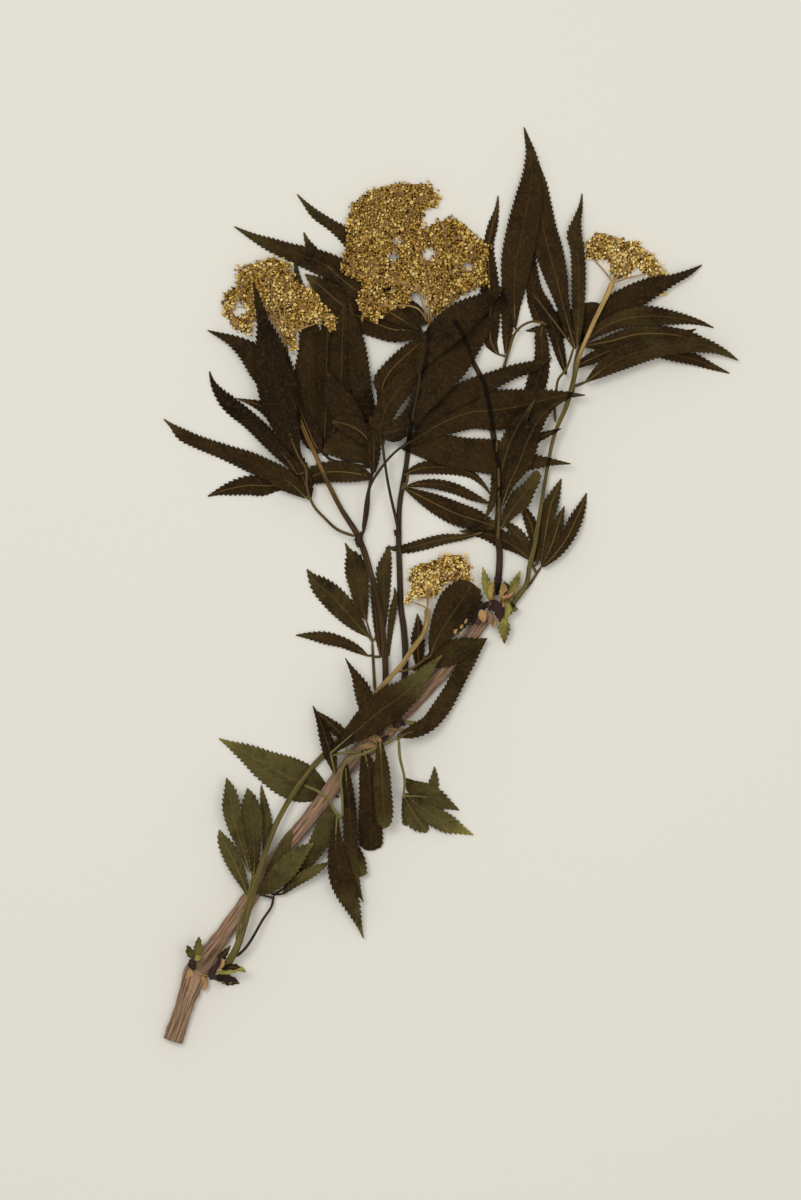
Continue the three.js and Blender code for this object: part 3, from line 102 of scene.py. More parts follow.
# compound leaves: stalk lines as x, y, then leaflets as x, y, width from base to tip; a broken one ends wide.
# tone runs from -1, nearly black, over 0, dark brown, 1, olive, and 2, yellow green, to 3, tan. Tones sets
# single leaflets, tips adds to their outer ends, dim darkens their bases, and the press share is how far the
# shoots below show through, as a raised ridge and as painted shade along them
leaves = {
    "leaf_left_low": {"slot": "olive_leaf", "tone": 1.0, "dim": 0.8, "stalks": [
        [(-44, -79.3), (-41.5, -80.3)]], "leaflets": [
        [(-44.5, -79, 1.2), (-49, -77.6, 9), (-54.5, -75.4, 14.5), (-61, -72.6, 15), (-68.5, -68.7, 11.6),
         (-76, -64, 7), (-82, -60.8, 3), (-86.8, -58.2, 0.4)]]},
    "leaf_right_lower": {"slot": "dark_leaf", "tone": 0.15, "stalks": [
        [(24, -6), (30, -0.5), (33, 4), (35, 7)],
        [(33, 4), (30.8, 9)]], "leaflets": [
        [(31, 10, 1.2), (28.3, 15.2, 4.6), (25.3, 19.3, 4.4), (21, 23.8, 0.8)],
        [(31.8, 8.5, 1.2), (32.2, 15, 3), (31.2, 21.5, 4.4), (29.5, 26, 3.4), (27.8, 30, 0.6)],
        [(33, 7.5, 1), (34.6, 15, 2.6), (35.2, 22, 2.6), (35.8, 31, 0.4)],
        [(34.8, 8.5, 1.2), (36, 17, 3), (37.2, 24.5, 4.6), (38.4, 30, 5.4), (40.4, 35, 3.2),
         (42.4, 39.8, 0.4)],
        [(35.3, 7.5, 1.2), (38.5, 14.5, 5.4), (40.3, 20, 5), (41.7, 24.7, 3), (43.4, 29.4, 0.4)],
        [(35.5, 6.8, 1.2), (40, 11.5, 4), (44.2, 17.3, 5), (47.3, 23.5, 5.2), (49.8, 28.8, 3.2),
         (51.9, 34.4, 0.4)],
        [(30.8, 9.3, 1.2), (25.5, 13.5, 3.8), (20.5, 16.7, 6.6), (15, 18.7, 4.6), (10, 19.6, 2.8),
         (4, 20, 0.5)]]},
    "leaf_slip": {"slot": "olive_leaf", "tone": 0.4, "stalks": [
        [(12.5, 19.6), (9, 18.6)]], "leaflets": [
        [(12, 19.3, 1), (5, 17.8, 2.4), (-2, 17, 3.8), (-10, 15, 4.2), (-17, 13.4, 3.2), (-24, 13.8, 0.4)]]},
    "leaf_left_mid": {"slot": "dark_leaf", "tone": 0.2, "stalks": [
        [(-28, -40), (-28.6, -29), (-29, -21.5)]], "leaflets": [
        [(-30.5, -19.6, 1), (-34.5, -15.3, 5.6), (-39.5, -9.6, 8.6), (-44.5, -4.4, 8.8), (-48.8, -0.4, 6.8),
         (-51.4, 2.3, 3.4), (-53.6, 5.7, 0.4)],
        [(-31.3, -13.5, 1), (-33, -8, 5.4), (-33.8, -2, 7), (-34.8, 4, 8.4), (-36, 9, 6.4), (-37.8, 12.6, 2),
         (-39.2, 15.6, 0.4)],
        [(-24.6, -17, 1.2), (-24.6, -9, 3.4), (-24.6, -1, 5), (-24.6, 5, 5.6), (-23.5, 10, 3.4),
         (-22.6, 14.8, 0.4)],
        [(-22.8, -27, 0.8), (-22.2, -18, 2), (-21.2, -10, 2.8), (-20.2, -4.5, 1.6), (-20.6, -1.2, 0.4)],
        [(-25.8, -27.2, 0.8), (-26.8, -20, 2), (-27.5, -12, 2.8), (-28.6, -5, 2), (-30, 0, 0.4)],
        [(-30.8, -26.9, 0.8), (-34.5, -24.6, 3), (-40, -22, 4), (-46, -20.4, 4.6), (-52, -19.5, 2.8),
         (-57.8, -19.2, 0.4)]]},
    "leaf_curved_right": {"slot": "dark_leaf", "tone": -0.1, "stalks": [
        [(-20, -58.5), (-16, -56)]], "leaflets": [
        [(-19.5, -57, 1.2), (-14, -55.4, 5), (-8, -52.4, 6), (-3, -46.6, 6.8), (0.8, -40.4, 6.2),
         (3.8, -34.6, 6), (7.6, -28.2, 5.2), (11, -24, 2.6), (14.2, -20.4, 0.4)]]},
    "leaf_upper_left": {"slot": "dark_leaf", "tone": 0.05, "stalkSkin": "brown_stem", "stalks": [
        [(-8, 90), (-10, 94), (-11.5, 98)]], "leaflets": [
        [(-44, 112, 1.2), (-47.5, 119, 4), (-51, 125, 4), (-53.5, 129.3, 2), (-54.8, 132.8, 0.4)],
        [(-8, 99, 2.5), (-13.5, 102.6, 7), (-22, 107, 8), (-33, 112, 8.4), (-43, 118.8, 9.4),
         (-52, 122.6, 8.4), (-60, 125.3, 6.4), (-67, 128, 5), (-73, 130.6, 3), (-81, 134.9, 0.4)],
        [(-12, 102, 1.2), (-22, 112, 5.6), (-31, 122.5, 7), (-39, 131.5, 5.6), (-44.5, 135.6, 4),
         (-50.3, 139.5, 3.4), (-54, 143.3, 1.8), (-57.3, 147.1, 0.4)],
        [(-10.5, 94, 3), (-15, 95.6, 8), (-21, 96, 9.5), (-28, 98.5, 10.5), (-36, 102, 12), (-43, 107.5, 11),
         (-49, 112.8, 6), (-54.3, 116.9, 0.5)],
        [(-11.5, 96, 1.2), (-20, 101, 6), (-30, 107.5, 7), (-38, 113, 5), (-46, 120, 0.5)]]},
    "leaf_centre_left": {"slot": "dark_leaf", "tone": -0.05, "stalkSkin": "brown_stem", "stalks": [
        [(-33, 18), (-31.9, 21.5), (-30.6, 28.3), (-30.2, 35.8), (-28.9, 44), (-31.5, 57)],
        [(-28.9, 44), (-38, 45.5), (-46, 48), (-50, 59)]], "leaflets": [
        [(-50.2, 60, 2), (-51.9, 65.5, 8.5), (-52.9, 72, 11), (-52.8, 80, 11), (-52.6, 88, 8.5), (-53, 98, 7),
         (-55, 107, 5), (-57.3, 116, 2.4), (-58, 123.5, 0.5)],
        [(-46.8, 48.5, 1.5), (-46.8, 58, 5), (-46.2, 70, 7.5), (-46.2, 82, 8), (-46, 92, 7), (-45.5, 100, 3),
         (-45.3, 104, 0.5)],
        [(-46, 49, 1.5), (-43.5, 58, 5), (-41.6, 68, 8), (-40.5, 80, 9), (-40.3, 90, 8.5), (-39.8, 100, 4.5),
         (-39.5, 106, 0.5)],
        [(-29.6, 56, 1.5), (-29.8, 61, 4.5), (-31.4, 67, 6.6), (-32.9, 73, 7.6), (-33.8, 80, 7.8),
         (-34.9, 90, 6.5), (-36, 98, 3.6), (-37.3, 106, 0.5)],
        [(-28.5, 44, 2), (-31, 48.5, 9), (-35, 51.5, 13), (-40, 52.5, 11.5), (-44, 51.5, 7), (-47.5, 50, 1)],
        [(-29, 40, 1.5), (-33, 41.3, 5.5), (-39, 42.2, 7.6), (-45, 42.3, 7.8), (-50, 41.3, 7), (-53.5, 39, 4),
         (-55, 36, 1)],
        [(-31.5, 58, 2), (-34.5, 61, 6.5), (-38, 64.5, 10), (-41.5, 69, 10), (-44, 74, 7), (-46, 80, 0.5)],
        [(-48.5, 49.5, 2), (-51, 53.5, 7), (-53, 58, 7.5), (-55, 63, 5.5), (-57, 69, 2), (-58, 72, 0.5)],
        [(-28.5, 50, 1.5), (-31, 55, 7), (-35, 58.5, 8), (-40, 60.5, 6), (-44, 61, 1)],
        [(-28.5, 42, 2), (-28.3, 48, 4.5), (-28.3, 54, 5), (-28.8, 59, 3), (-29.5, 63, 1)]]},
    "leaf_s1_single": {"slot": "dark_leaf", "tone": 0.0, "stalkSkin": "brown_stem", "stalks": [
        [(-19, 20), (-23, 38), (-25, 52), (-25.6, 58)]], "leaflets": [
        [(-26, 58, 1.5), (-26, 66, 2.2), (-25.2, 72, 4.6), (-24.6, 76, 8), (-21.9, 80.6, 7), (-16.5, 86, 6.6),
         (-10, 91.5, 4.8), (-4.5, 98, 0.5)],
        [(-25.2, 52, 1.4), (-25.7, 56, 5), (-25.2, 61.5, 7.4), (-22.6, 68, 8.6), (-17.8, 74.4, 8.8),
         (-12.2, 79.8, 7.2), (-9, 88, 5), (-7, 96, 0.5)]]},
    "leaf_s1_mid": {"slot": "dark_leaf", "tone": 0.05, "stalks": [
        [(-18, 35.5), (-16, 38), (-15.5, 42)]], "leaflets": [
        [(-16.5, 36.2, 1.2), (-11, 33.3, 4.6), (-4, 29.8, 7.6), (3, 26.5, 8.6), (10, 24.2, 7.6),
         (15, 22.5, 4.4), (20, 21.2, 0.5)],
        [(-15.5, 37, 1), (-11, 37.8, 2.6), (-5, 37.7, 3.8), (2, 36.1, 4), (9, 33, 3), (16, 30, 0.4)],
        [(-16.8, 41.6, 1), (-11, 43.6, 4.2), (-4, 44.3, 5.4), (3, 43.5, 4.6), (8.5, 41.4, 3), (12.5, 38, 1.6),
         (16.2, 33, 0.4)]]},
    "leaf_right_fan": {"slot": "dark_leaf", "tone": 0.0, "stalks": [
        [(46.8, 72), (47.3, 82), (48.5, 88), (50, 91)],
        [(46.9, 74.5), (52, 76.5)]], "leaflets": [
        [(49.8, 89.5, 1.5), (51, 94, 4.5), (52.8, 99.5, 6.8), (54.2, 104, 6.6), (54.4, 106.5, 6)],
        [(50.5, 91, 1.2), (54.5, 96.8, 7), (60.8, 102.9, 9.8), (69, 108, 9.6), (77, 112, 7.4), (84, 114.6, 4),
         (90, 117.2, 2.4), (95.3, 120.4, 0.4)],
        [(50.8, 90.8, 1.2), (57, 96, 4.5), (65, 99.6, 6.4), (74, 100.9, 7.6), (82, 100.7, 5.6),
         (90, 99.8, 3.2), (95, 98.6, 1.8), (99.8, 96.8, 0.4)],
        [(52, 89.6, 1.6), (57, 90.2, 4), (62, 92, 4.6), (68, 94, 4.6), (74, 94.8, 4.6), (80, 95, 4.4),
         (86, 94.6, 3.4), (90, 95.2, 1.6), (93.2, 96.3, 0.4)],
        [(50, 89.4, 1.2), (60, 91.3, 3.6), (71, 94, 5.4), (82, 94, 5.4), (91, 92.3, 5), (98, 89.8, 3),
         (104.5, 86.8, 0.5)],
        [(47.5, 81.3, 1.2), (49.6, 82.9, 2.8), (53, 84.6, 4.4), (62, 88, 5), (74, 88.5, 5), (85, 86.3, 5),
         (93, 84.6, 4.2), (99.5, 82, 2.4), (105.8, 79.6, 0.4)],
        [(51.6, 76.3, 1.2), (57, 80.2, 5.4), (64, 84.5, 8.6), (72, 87.6, 8.8), (81, 89.2, 6.6), (90, 90, 6),
         (96, 89.6, 5.2), (101, 88.2, 3.2), (105, 86.4, 2), (108.8, 84.3, 0.4)]]},
    "leaf_top": {"slot": "dark_leaf", "tone": 0.05, "stalks": [
        [(40, 61), (39.7, 66), (40.2, 73), (41, 77), (44, 81), (46.8, 89)]], "leaflets": [
        [(42.5, 103.3, 7.6), (43.3, 98, 7.8), (44.4, 93, 4.6)],
        [(29.8, 112, 1), (31, 107, 3), (33.2, 102, 4.4), (34.2, 98.8, 4)],
        [(44, 79.5, 1.2), (42.2, 86, 3.6), (39.8, 95, 5), (36.6, 103, 5.8), (32.6, 110, 5.6),
         (30.6, 118, 5.6), (30, 127, 4.6), (29.8, 135, 2.6), (29.6, 142, 0.5)],
        [(48, 89.5, 1.2), (48.4, 98, 3.6), (48.7, 108, 5), (48.7, 118, 5.4), (48.2, 126, 5.2),
         (47.2, 131.5, 5.6), (48, 136.5, 3.4), (49.5, 142, 1.6), (50.2, 147.4, 0.4)],
        [(47.2, 88.5, 1.2), (44.8, 97, 3.2), (42.2, 107, 5.8), (40.2, 116, 8.8), (37.8, 125, 10.4),
         (35.6, 134, 9.6), (34.8, 143, 7.4), (34.8, 151, 4), (33.6, 159, 0.5)]]},
    "leaf_top_left": {"slot": "dark_leaf", "tone": 0.0, "stalks": [
        [(16, 70), (20.3, 81), (22.5, 88), (25.5, 95.5), (31, 98.7), (36, 98)]], "leaflets": [
        [(36.2, 97, 1.5), (33, 96.2, 2), (31, 95.8, 1.2), (29, 95.6, 0.4)],
        [(35.4, 98, 1.5), (34.6, 94.5, 4.4), (35, 89, 5.2), (35, 84, 6), (33.6, 78, 7.4), (31.8, 72, 7),
         (29.5, 64, 4), (28, 58, 0.5)],
        [(21.5, 87, 1.2), (21.9, 94, 3.8), (22.2, 100, 4.8), (22, 108, 5.5), (22.5, 116, 4),
         (23.5, 124, 0.5)],
        [(18.3, 87, 1.2), (15.8, 91.5, 5.2), (15.5, 98, 7), (15.6, 107, 7.4), (15, 117, 6.4),
         (14.9, 128, 3.8), (16.4, 135, 3.6), (18, 141.5, 1.6), (18.5, 146.6, 0.4)],
        [(24.8, 97, 1.2), (24.6, 104, 4.5), (24.6, 112, 9), (25.3, 121, 11.4), (27.6, 133, 12),
         (29.9, 145, 10), (31.2, 155, 6.6), (30.7, 163, 3.4), (29.2, 169, 1.5), (28.3, 172.4, 0.4)]]},
    "leaf_centre": {"slot": "dark_leaf", "tone": 0.2, "stalkSkin": "brown_stem", "stalks": [
        [(-32.5, 20.4), (-30.2, 35.5), (-26, 43), (-20.4, 49.5), (-14, 54)]], "leaflets": [
        [(-17.5, 51.2, 1.2), (-12, 51.3, 6), (-4, 50.8, 11), (6, 49.2, 12), (16, 48, 13), (25, 46.8, 10),
         (32, 46, 5.6), (38, 45.9, 2.8), (45.6, 45.2, 0.4)],
        [(-17, 51.8, 1.2), (-11, 55.8, 5.4), (-2, 61, 10.2), (8, 64.7, 12.8), (18, 65.6, 15), (28, 67.3, 12),
         (37, 69.6, 6.8), (44, 70.9, 2.8), (51, 71, 0.4)]]},
    "leaf_s3": {"slot": "olive_leaf", "tone": 0.15, "stalks": [
        [(18.3, 17), (18.8, 28), (18.6, 40), (17.8, 54)]], "leaflets": [
        [(24, 50, 1.2), (31, 54, 3.6), (36.5, 56.3, 2.4), (42, 58.4, 0.4)],
        [(17.5, 52, 1.2), (17.8, 42, 4), (17.2, 34, 3.6), (15.5, 29, 2.2), (13.3, 24, 0.4)],
        [(18.5, 33, 1.2), (19.5, 42, 6), (22, 51, 7), (25.5, 59, 6), (29.5, 65, 2), (32, 69, 0.4)],
        [(19.8, 21.2, 1.2), (22.5, 26.5, 5.2), (26.5, 31.8, 8), (29.8, 36, 5.4), (32.3, 40, 4),
         (33, 42.8, 2.4)],
        [(19.8, 29.5, 1.2), (22.3, 37, 3.8), (26, 45, 8.4), (28.6, 52, 9), (31.3, 58, 6.6), (35, 63.4, 4),
         (39.5, 67.4, 2.1), (45.8, 70.3, 0.4)]]},
    "leaf_s1_upper": {"slot": "dark_leaf", "tone": -0.3, "stalkSkin": "brown_stem", "stalks": [
        [(-14.2, 59), (-13.2, 66), (-11.5, 74), (-11, 80)]], "leaflets": [
        [(-13.5, 58.8, 2.5), (-7, 64.2, 6.4), (1, 69.5, 8), (9, 73.6, 8), (17, 77, 6.5), (24, 79.9, 5.2),
         (31, 82, 4), (38.8, 85.3, 0.4)],
        [(-25, 56.7, 4), (-20.5, 57, 7.5), (-15.5, 61.5, 7), (-12, 66, 8), (-7.5, 73, 11.5), (0.5, 82.5, 13),
         (8, 91, 9), (14.5, 98.5, 4.5), (20.3, 104, 0.5)],
        [(-12, 79.5, 1.5), (-8, 87, 8), (-2, 94.5, 12), (5, 100.5, 11.5), (12, 105.5, 7.5), (17, 109.5, 3.2),
         (20.5, 112.2, 0.4)]]},
    "leaf_left": {"slot": "dark_leaf", "tone": -0.3, "stalks": [
        [(-35.5, 18), (-42, 20.5), (-47, 25), (-51, 29.5), (-53.5, 36), (-54, 43.5), (-56, 47),
        (-59, 60)]], "leaflets": [
        [(-52.5, 32, 1.5), (-53.5, 36, 5), (-55.5, 41, 7), (-58, 46, 7), (-61, 51, 4), (-64, 56, 1)],
        [(-60.5, 36.2, 1), (-64.5, 37, 4), (-70, 37.2, 7.6), (-76, 37.3, 7), (-82, 36.2, 5), (-87, 34.8, 2.3),
         (-91, 33.2, 0.5)],
        [(-54, 32.8, 1.5), (-58, 36.6, 6.5), (-63, 40, 8), (-69, 43.3, 7.6), (-75, 46.1, 7.3), (-85, 50, 5.6),
         (-95, 53.8, 4.8), (-100.5, 56.4, 4.4), (-104.5, 59.7, 1.8), (-107.6, 62.3, 0.4)],
        [(-57, 41.5, 1.2), (-61.5, 47.5, 4.8), (-67, 53.8, 6.4), (-74.5, 61.2, 6.2), (-82.5, 67.7, 6.1),
         (-86.7, 72.2, 3.8), (-89.2, 76.3, 1.7), (-90.4, 80.3, 0.4)],
        [(-60, 57, 1), (-66, 63.5, 5), (-70.5, 67, 4), (-75.5, 68.8, 1.8), (-80, 70, 0.4)],
        [(-60, 64, 1.2), (-64, 72, 8), (-69.5, 80.5, 11), (-75.5, 87.5, 8), (-81.5, 91.6, 4.2),
         (-86.5, 93.8, 2), (-91, 95.6, 0.4)],
        [(-56, 47, 1.2), (-58.8, 53, 6), (-61.5, 61, 11.8), (-64, 71, 14.6), (-66, 81, 14.4), (-68, 91, 9.4),
         (-70, 99, 4.6), (-71.8, 106, 2.8), (-73.8, 113.6, 0.4)]]},
    "leaf_by_small_cluster": {"slot": "dark_leaf", "tone": -0.05, "press": 0.3, "stalks": [
        [(-19, -33), (-14, -31.5), (-9, -28)]], "leaflets": [
        [(-11.5, -32, 1.2), (-11.6, -27, 4), (-11.8, -21, 5), (-11.6, -15.5, 3), (-12, -11, 0.4)],
        [(-13, -32.5, 1.2), (-7, -29, 6), (-1, -26.3, 9.4), (5, -23.8, 7.4), (10, -22, 3.4),
         (14.3, -20.4, 0.4)],
        [(-7, -27, 1.2), (-4.6, -20.5, 7), (-1, -14.5, 12.4), (2.6, -9.2, 15.4), (5.8, -4.4, 14),
         (7.8, -1.2, 9.5), (8.8, 0.4, 5)]]},
    "leaf_base_left": {
        "slot": "olive_leaf", "tone": 0.95, "dim": 0.45, "stalkSkin": "green_stalk", "stalks": [
        [(-80, -135), (-79, -128), (-76, -120), (-74.5, -112), (-73, -107)]], "leaflets": [
        [(-70, -105, 1), (-68.8, -97.5, 3), (-68.6, -91, 4), (-69.5, -84, 3), (-70.4, -79.5, 1.8),
         (-70.8, -75.7, 0.4)],
        [(-73.5, -111, 1.2), (-73.2, -103, 4), (-73.8, -95, 6.6), (-74.5, -87, 8.4), (-75, -81.5, 5.4),
         (-75.9, -76.8, 0.5)],
        [(-75.6, -117, 1), (-77.8, -111.5, 4), (-80.8, -105, 6), (-83.6, -99.6, 5.6), (-85.6, -96, 3.4),
         (-86.7, -92.6, 0.4)],
        [(-75, -108, 1), (-77.6, -99.5, 3.4), (-80.2, -91.5, 5.8), (-81.8, -84, 6.8), (-82.4, -78, 4.4),
         (-83.8, -72.8, 0.4)]]},
    "leaf_base_right": {"slot": "olive_leaf", "tone": 0.95, "dim": 0.7, "stalkSkin": "brown_stem", "stalks": [
        [(-80, -140), (-76, -136), (-70, -126), (-67, -121.5), (-66, -117)]], "leaflets": [
        [(-70.5, -113.5, 1), (-66.5, -107, 4), (-63, -100.8, 4.4), (-60.7, -96, 3), (-59.2, -92.8, 0.8)],
        [(-62, -114.5, 1.2), (-56.5, -108.5, 3.6), (-51.5, -101.5, 6), (-47.8, -94.5, 7.4), (-45.4, -88.5, 6),
         (-44.3, -83, 1.5)],
        [(-62.5, -116.5, 1.2), (-57.5, -111.8, 3.6), (-52, -108.3, 4), (-48, -106.2, 2.4), (-45.8, -105, 1)],
        [(-71.5, -116.5, 2), (-67, -112.5, 7), (-61.5, -107, 8.4), (-57, -102, 6), (-53.5, -99, 3),
         (-51, -97.3, 0.5)]]},
    "leaf_lower_mid": {
        "slot": "dark_leaf", "tone": 0.05, "tips": {3: 1.0}, "press": 0.25,
        "stalkSkin": "green_stalk", "stalks": [
        [(-20, -57.5), (-25, -60.5), (-31, -63), (-38, -63), (-45, -64.5)]], "leaflets": [
        [(-30, -52, 1.5), (-31, -46, 6), (-32.6, -40, 6), (-35, -34.6, 3.2), (-37.3, -30.8, 1.4),
         (-39, -27.8, 0.4)],
        [(-43, -71, 1.2), (-44.6, -64, 5), (-46.5, -57.5, 4.6), (-48.5, -51.5, 2.8), (-50.3, -48, 1.2),
         (-51.3, -45.7, 0.4)],
        [(-38.8, -58, 1.2), (-41.5, -55.3, 4.6), (-45, -52, 3.2), (-48, -49.2, 1.4), (-50.2, -47.5, 0.4)],
        [(-44.5, -63.5, 1.2), (-38.5, -58, 5.4), (-32.5, -53, 10), (-26.5, -48, 12.4), (-21, -44, 12.5),
         (-16, -40.3, 9.6), (-11, -35.2, 6), (-6.5, -30.4, 2.8), (-2.7, -26.5, 0.4)]]},
    "leaf_drooping": {
        "slot": "dark_leaf", "tone": 0.2, "tips": {2: 0.8, 3: 0.8, 4: 1.0}, "dim": 0.2,
        "stalkSkin": "green_stalk", "stalks": [
        [(-25, -60), (-32, -63.5), (-38.5, -66), (-40.7, -72), (-40.2, -80), (-40, -88)],
        [(-40, -88), (-42.5, -86), (-45, -81.5), (-49, -78), (-54.5, -75.5)]], "leaflets": [
        [(-32, -62, 2), (-30.3, -70, 7), (-29.6, -80, 8.5), (-29.6, -91, 9), (-29.4, -100.4, 8.6)],
        [(-26, -59, 2), (-25.4, -68, 5.5), (-25, -77, 6.6), (-24.4, -85.5, 6.4), (-24.2, -91.5, 4)],
        [(-36.5, -96, 1.5), (-34.4, -103, 5), (-32.8, -110, 4)],
        [(-39, -67.5, 1.5), (-38.4, -76, 4.4), (-37.4, -86, 5.2), (-37, -96, 5.6), (-36.8, -104, 5),
         (-35.5, -111, 3.6), (-33.8, -116, 1.6), (-32.4, -119.5, 0.4)],
        [(-42.2, -87.5, 1.2), (-42.6, -94, 4), (-42.2, -102, 7), (-40.7, -109.5, 9), (-38.6, -115.5, 8.4),
         (-36, -122, 5.2), (-33.8, -128.5, 2), (-32.3, -133.4, 0.4)]]},
    "leaf_small_hanging": {
        "slot": "olive_leaf", "tone": 0.85, "tips": {1: -0.1, 4: 0.5}, "dim": 0.3,
        "stalkSkin": "green_stalk", "stalks": [
        [(-19, -58), (-18.5, -65), (-16.8, -73), (-17.2, -80)]], "leaflets": [
        [(-7.5, -80, 1.2), (-6, -76, 4), (-5.5, -72.5, 2.4), (-5.5, -68.8, 0.4)],
        [(-16.8, -73.3, 1), (-13.5, -76.5, 6), (-9, -79.4, 9), (-4.5, -81.3, 7.4), (-0.5, -83, 3.6),
         (3.8, -85.2, 0.4)],
        [(-17.2, -79.8, 1), (-16.4, -84, 3), (-15.8, -88, 4), (-16.8, -91, 1.5)],
        [(-16.8, -80, 1), (-14.5, -84.5, 6), (-12, -88.5, 8), (-9.6, -91.8, 4.4), (-8.6, -93.6, 1)],
        [(-16.3, -79, 1), (-12, -83, 4.4), (-6.5, -87, 7), (-1, -90, 7), (4, -92.3, 3.6),
         (9.2, -94.6, 0.4)]]},
    "bud_base_left": {"slot": "green_buds", "tone": 1.2, "stalkWidth": 3.6, "stalks": [
        [(-98, -143.5), (-96.3, -142), (-95.3, -139.5)]], "leaflets": [
        [(-95, -140.5, 1), (-94.6, -138.3, 3.2), (-94.2, -135, 2.4), (-94, -132.5, 0.5)],
        [(-95.8, -141, 1), (-97.2, -138.6, 3), (-98.4, -135.6, 0.5)]]},
    "bud_base_right": {"slot": "dark_buds", "tone": 0.0, "stalkWidth": 3.8, "stalks": [
        [(-90, -147), (-87, -143), (-85, -139)]], "leaflets": [
        [(-87, -142, 0.8), (-85.5, -140, 3), (-82, -135.5, 0.4)],
        [(-86, -144, 0.8), (-81, -143.5, 2.4), (-76.5, -145, 0.4)],
        [(-88, -148, 0.8), (-84, -149.5, 3.2), (-79, -150.5, 0.4)]]},
    "bud_top": {"slot": "green_buds", "tone": 1.8, "tones": {4: 3.0, 5: 3.0}, "stalkWidth": 3.9, "stalks": [
        [(10.3, -15.2), (11.4, -9.8), (15.2, -7.4), (20.5, -8.6)]], "leaflets": [
        [(15.8, -7, 0.8), (14.2, -1, 3.6), (12.6, 6.5, 0.4)],
        [(20, -8.5, 0.8), (23.5, -2.5, 4), (26.8, 5, 0.5)],
        [(18.5, -8.5, 1), (22, -8.8, 5), (25.8, -9.5, 0.5)],
        [(20.5, -11, 0.8), (20.6, -16, 4.4), (20.8, -22.4, 0.4)],
        [(16.5, -7, 1), (15.8, -3, 3), (16.4, 1, 0.5)],
        [(19.5, -7, 1), (20.3, -3, 3), (20.8, 1.2, 0.5)]]},
}

# flower heads: outline in mm, and gaps as x, y, radius
heads = {
    "flower_head_large": {"outline": [
        (-36.5, 144), (-31, 148.5), (-22, 151), (-15, 151.8), (-7, 151), (-2.8, 145.5), (-4.5, 141.5),
        (-9, 141), (-10, 134.5), (-5, 137), (1, 139.3), (5.2, 136.5), (11, 131), (16, 126.5), (14.2, 119),
        (14.5, 113), (9.5, 110.5), (4.5, 108.5), (0, 105), (-4, 100.3), (-7, 100.5), (-9, 108.5), (-13, 110),
        (-15, 106), (-20, 103), (-25, 101.5), (-27.5, 98), (-33, 100), (-34.5, 105), (-33, 113), (-39, 116),
        (-41, 119), (-39, 131), (-38, 140)],
        "gaps": [(-19.5, 129.5, 1.6), (-21, 123.5, 1.8), (-7.8, 124.5, 2.2), (7, 119.8, 1.6),
                 (-23, 111, 1.6)]},
    "flower_head_left": {"outline": [
        (-85.7, 106.5), (-84.5, 110.5), (-80.5, 112.5), (-80.5, 118.5), (-75, 121.5), (-66, 123.6),
        (-59.5, 121), (-58.5, 116), (-56, 113), (-50.5, 111.5), (-47.5, 105), (-42, 100.5), (-42.2, 96.5),
        (-44.8, 93.3), (-47.5, 98.3), (-53, 98), (-57.3, 95), (-57, 90), (-58.6, 86), (-61.5, 91),
        (-65, 95.5), (-67.5, 100), (-71.5, 100.8), (-73.8, 98.8), (-74.3, 94.6), (-78, 94), (-82, 97),
        (-84.7, 101)],
        "gaps": [(-79, 104, 2.6)]},
    "flower_head_right": {"outline": [
        (50.8, 125), (52, 130), (55, 132.7), (60.5, 132.3), (63, 130.5), (71, 130.2), (74, 126), (78, 123.5),
        (82.5, 117), (80.6, 108.4), (77, 110), (75, 115.8), (71, 119), (67, 115), (61, 115), (60, 121.5),
        (52, 122.6)],
        "gaps": []},
    "flower_head_small": {"outline": [
        (-15.3, 3), (-14.5, 6.2), (-11, 8), (-5, 9.5), (-2, 11.6), (4.5, 11.5), (7, 9.5), (8.8, 3), (7, 0),
        (1.5, 1), (-2, -0.5), (-5, -5.5), (-8.5, -5.5), (-13, -5.5), (-17, -8), (-17.2, -6), (-15, -2.5)],
        "gaps": []},
}

# the order in which the pieces are laid
order = [
    "leaf_left_low", "main_stem", "leaf_right_lower", "leaf_slip", "shoot_centre_left", "shoot_centre",
    "leaf_left_mid", "leaf_curved_right", "leaf_upper_left", "leaf_centre_left", "leaf_s1_single",
    "leaf_s1_mid", "shoot_left", "flower_head_right", "leaf_right_fan", "leaf_top", "shoot_right",
    "leaf_top_left", "leaf_centre", "leaf_s3", "flower_head_large", "leaf_s1_upper", "flower_head_left",
    "leaf_left", "flower_head_small", "leaf_by_small_cluster", "leaf_base_left", "leaf_base_right",
    "shoot_small", "leaf_lower_mid", "leaf_drooping", "leaf_small_hanging", "bud_base_left",
    "bud_base_right", "bud_top"]


# ---- map of heights, one cell a millimetre
class Station:
    def __init__(self, x, y, left, right, height):
        self.x, self.y, self.left, self.right, self.height = x, y, left, right, height
        self.z = 0.0


mapX, mapY = laying["mapX"], laying["mapY"]
heights = np.zeros((2 * mapY + 1, 2 * mapX + 1))


def roundHalfUp(value):
    return math.floor(value + 0.5)


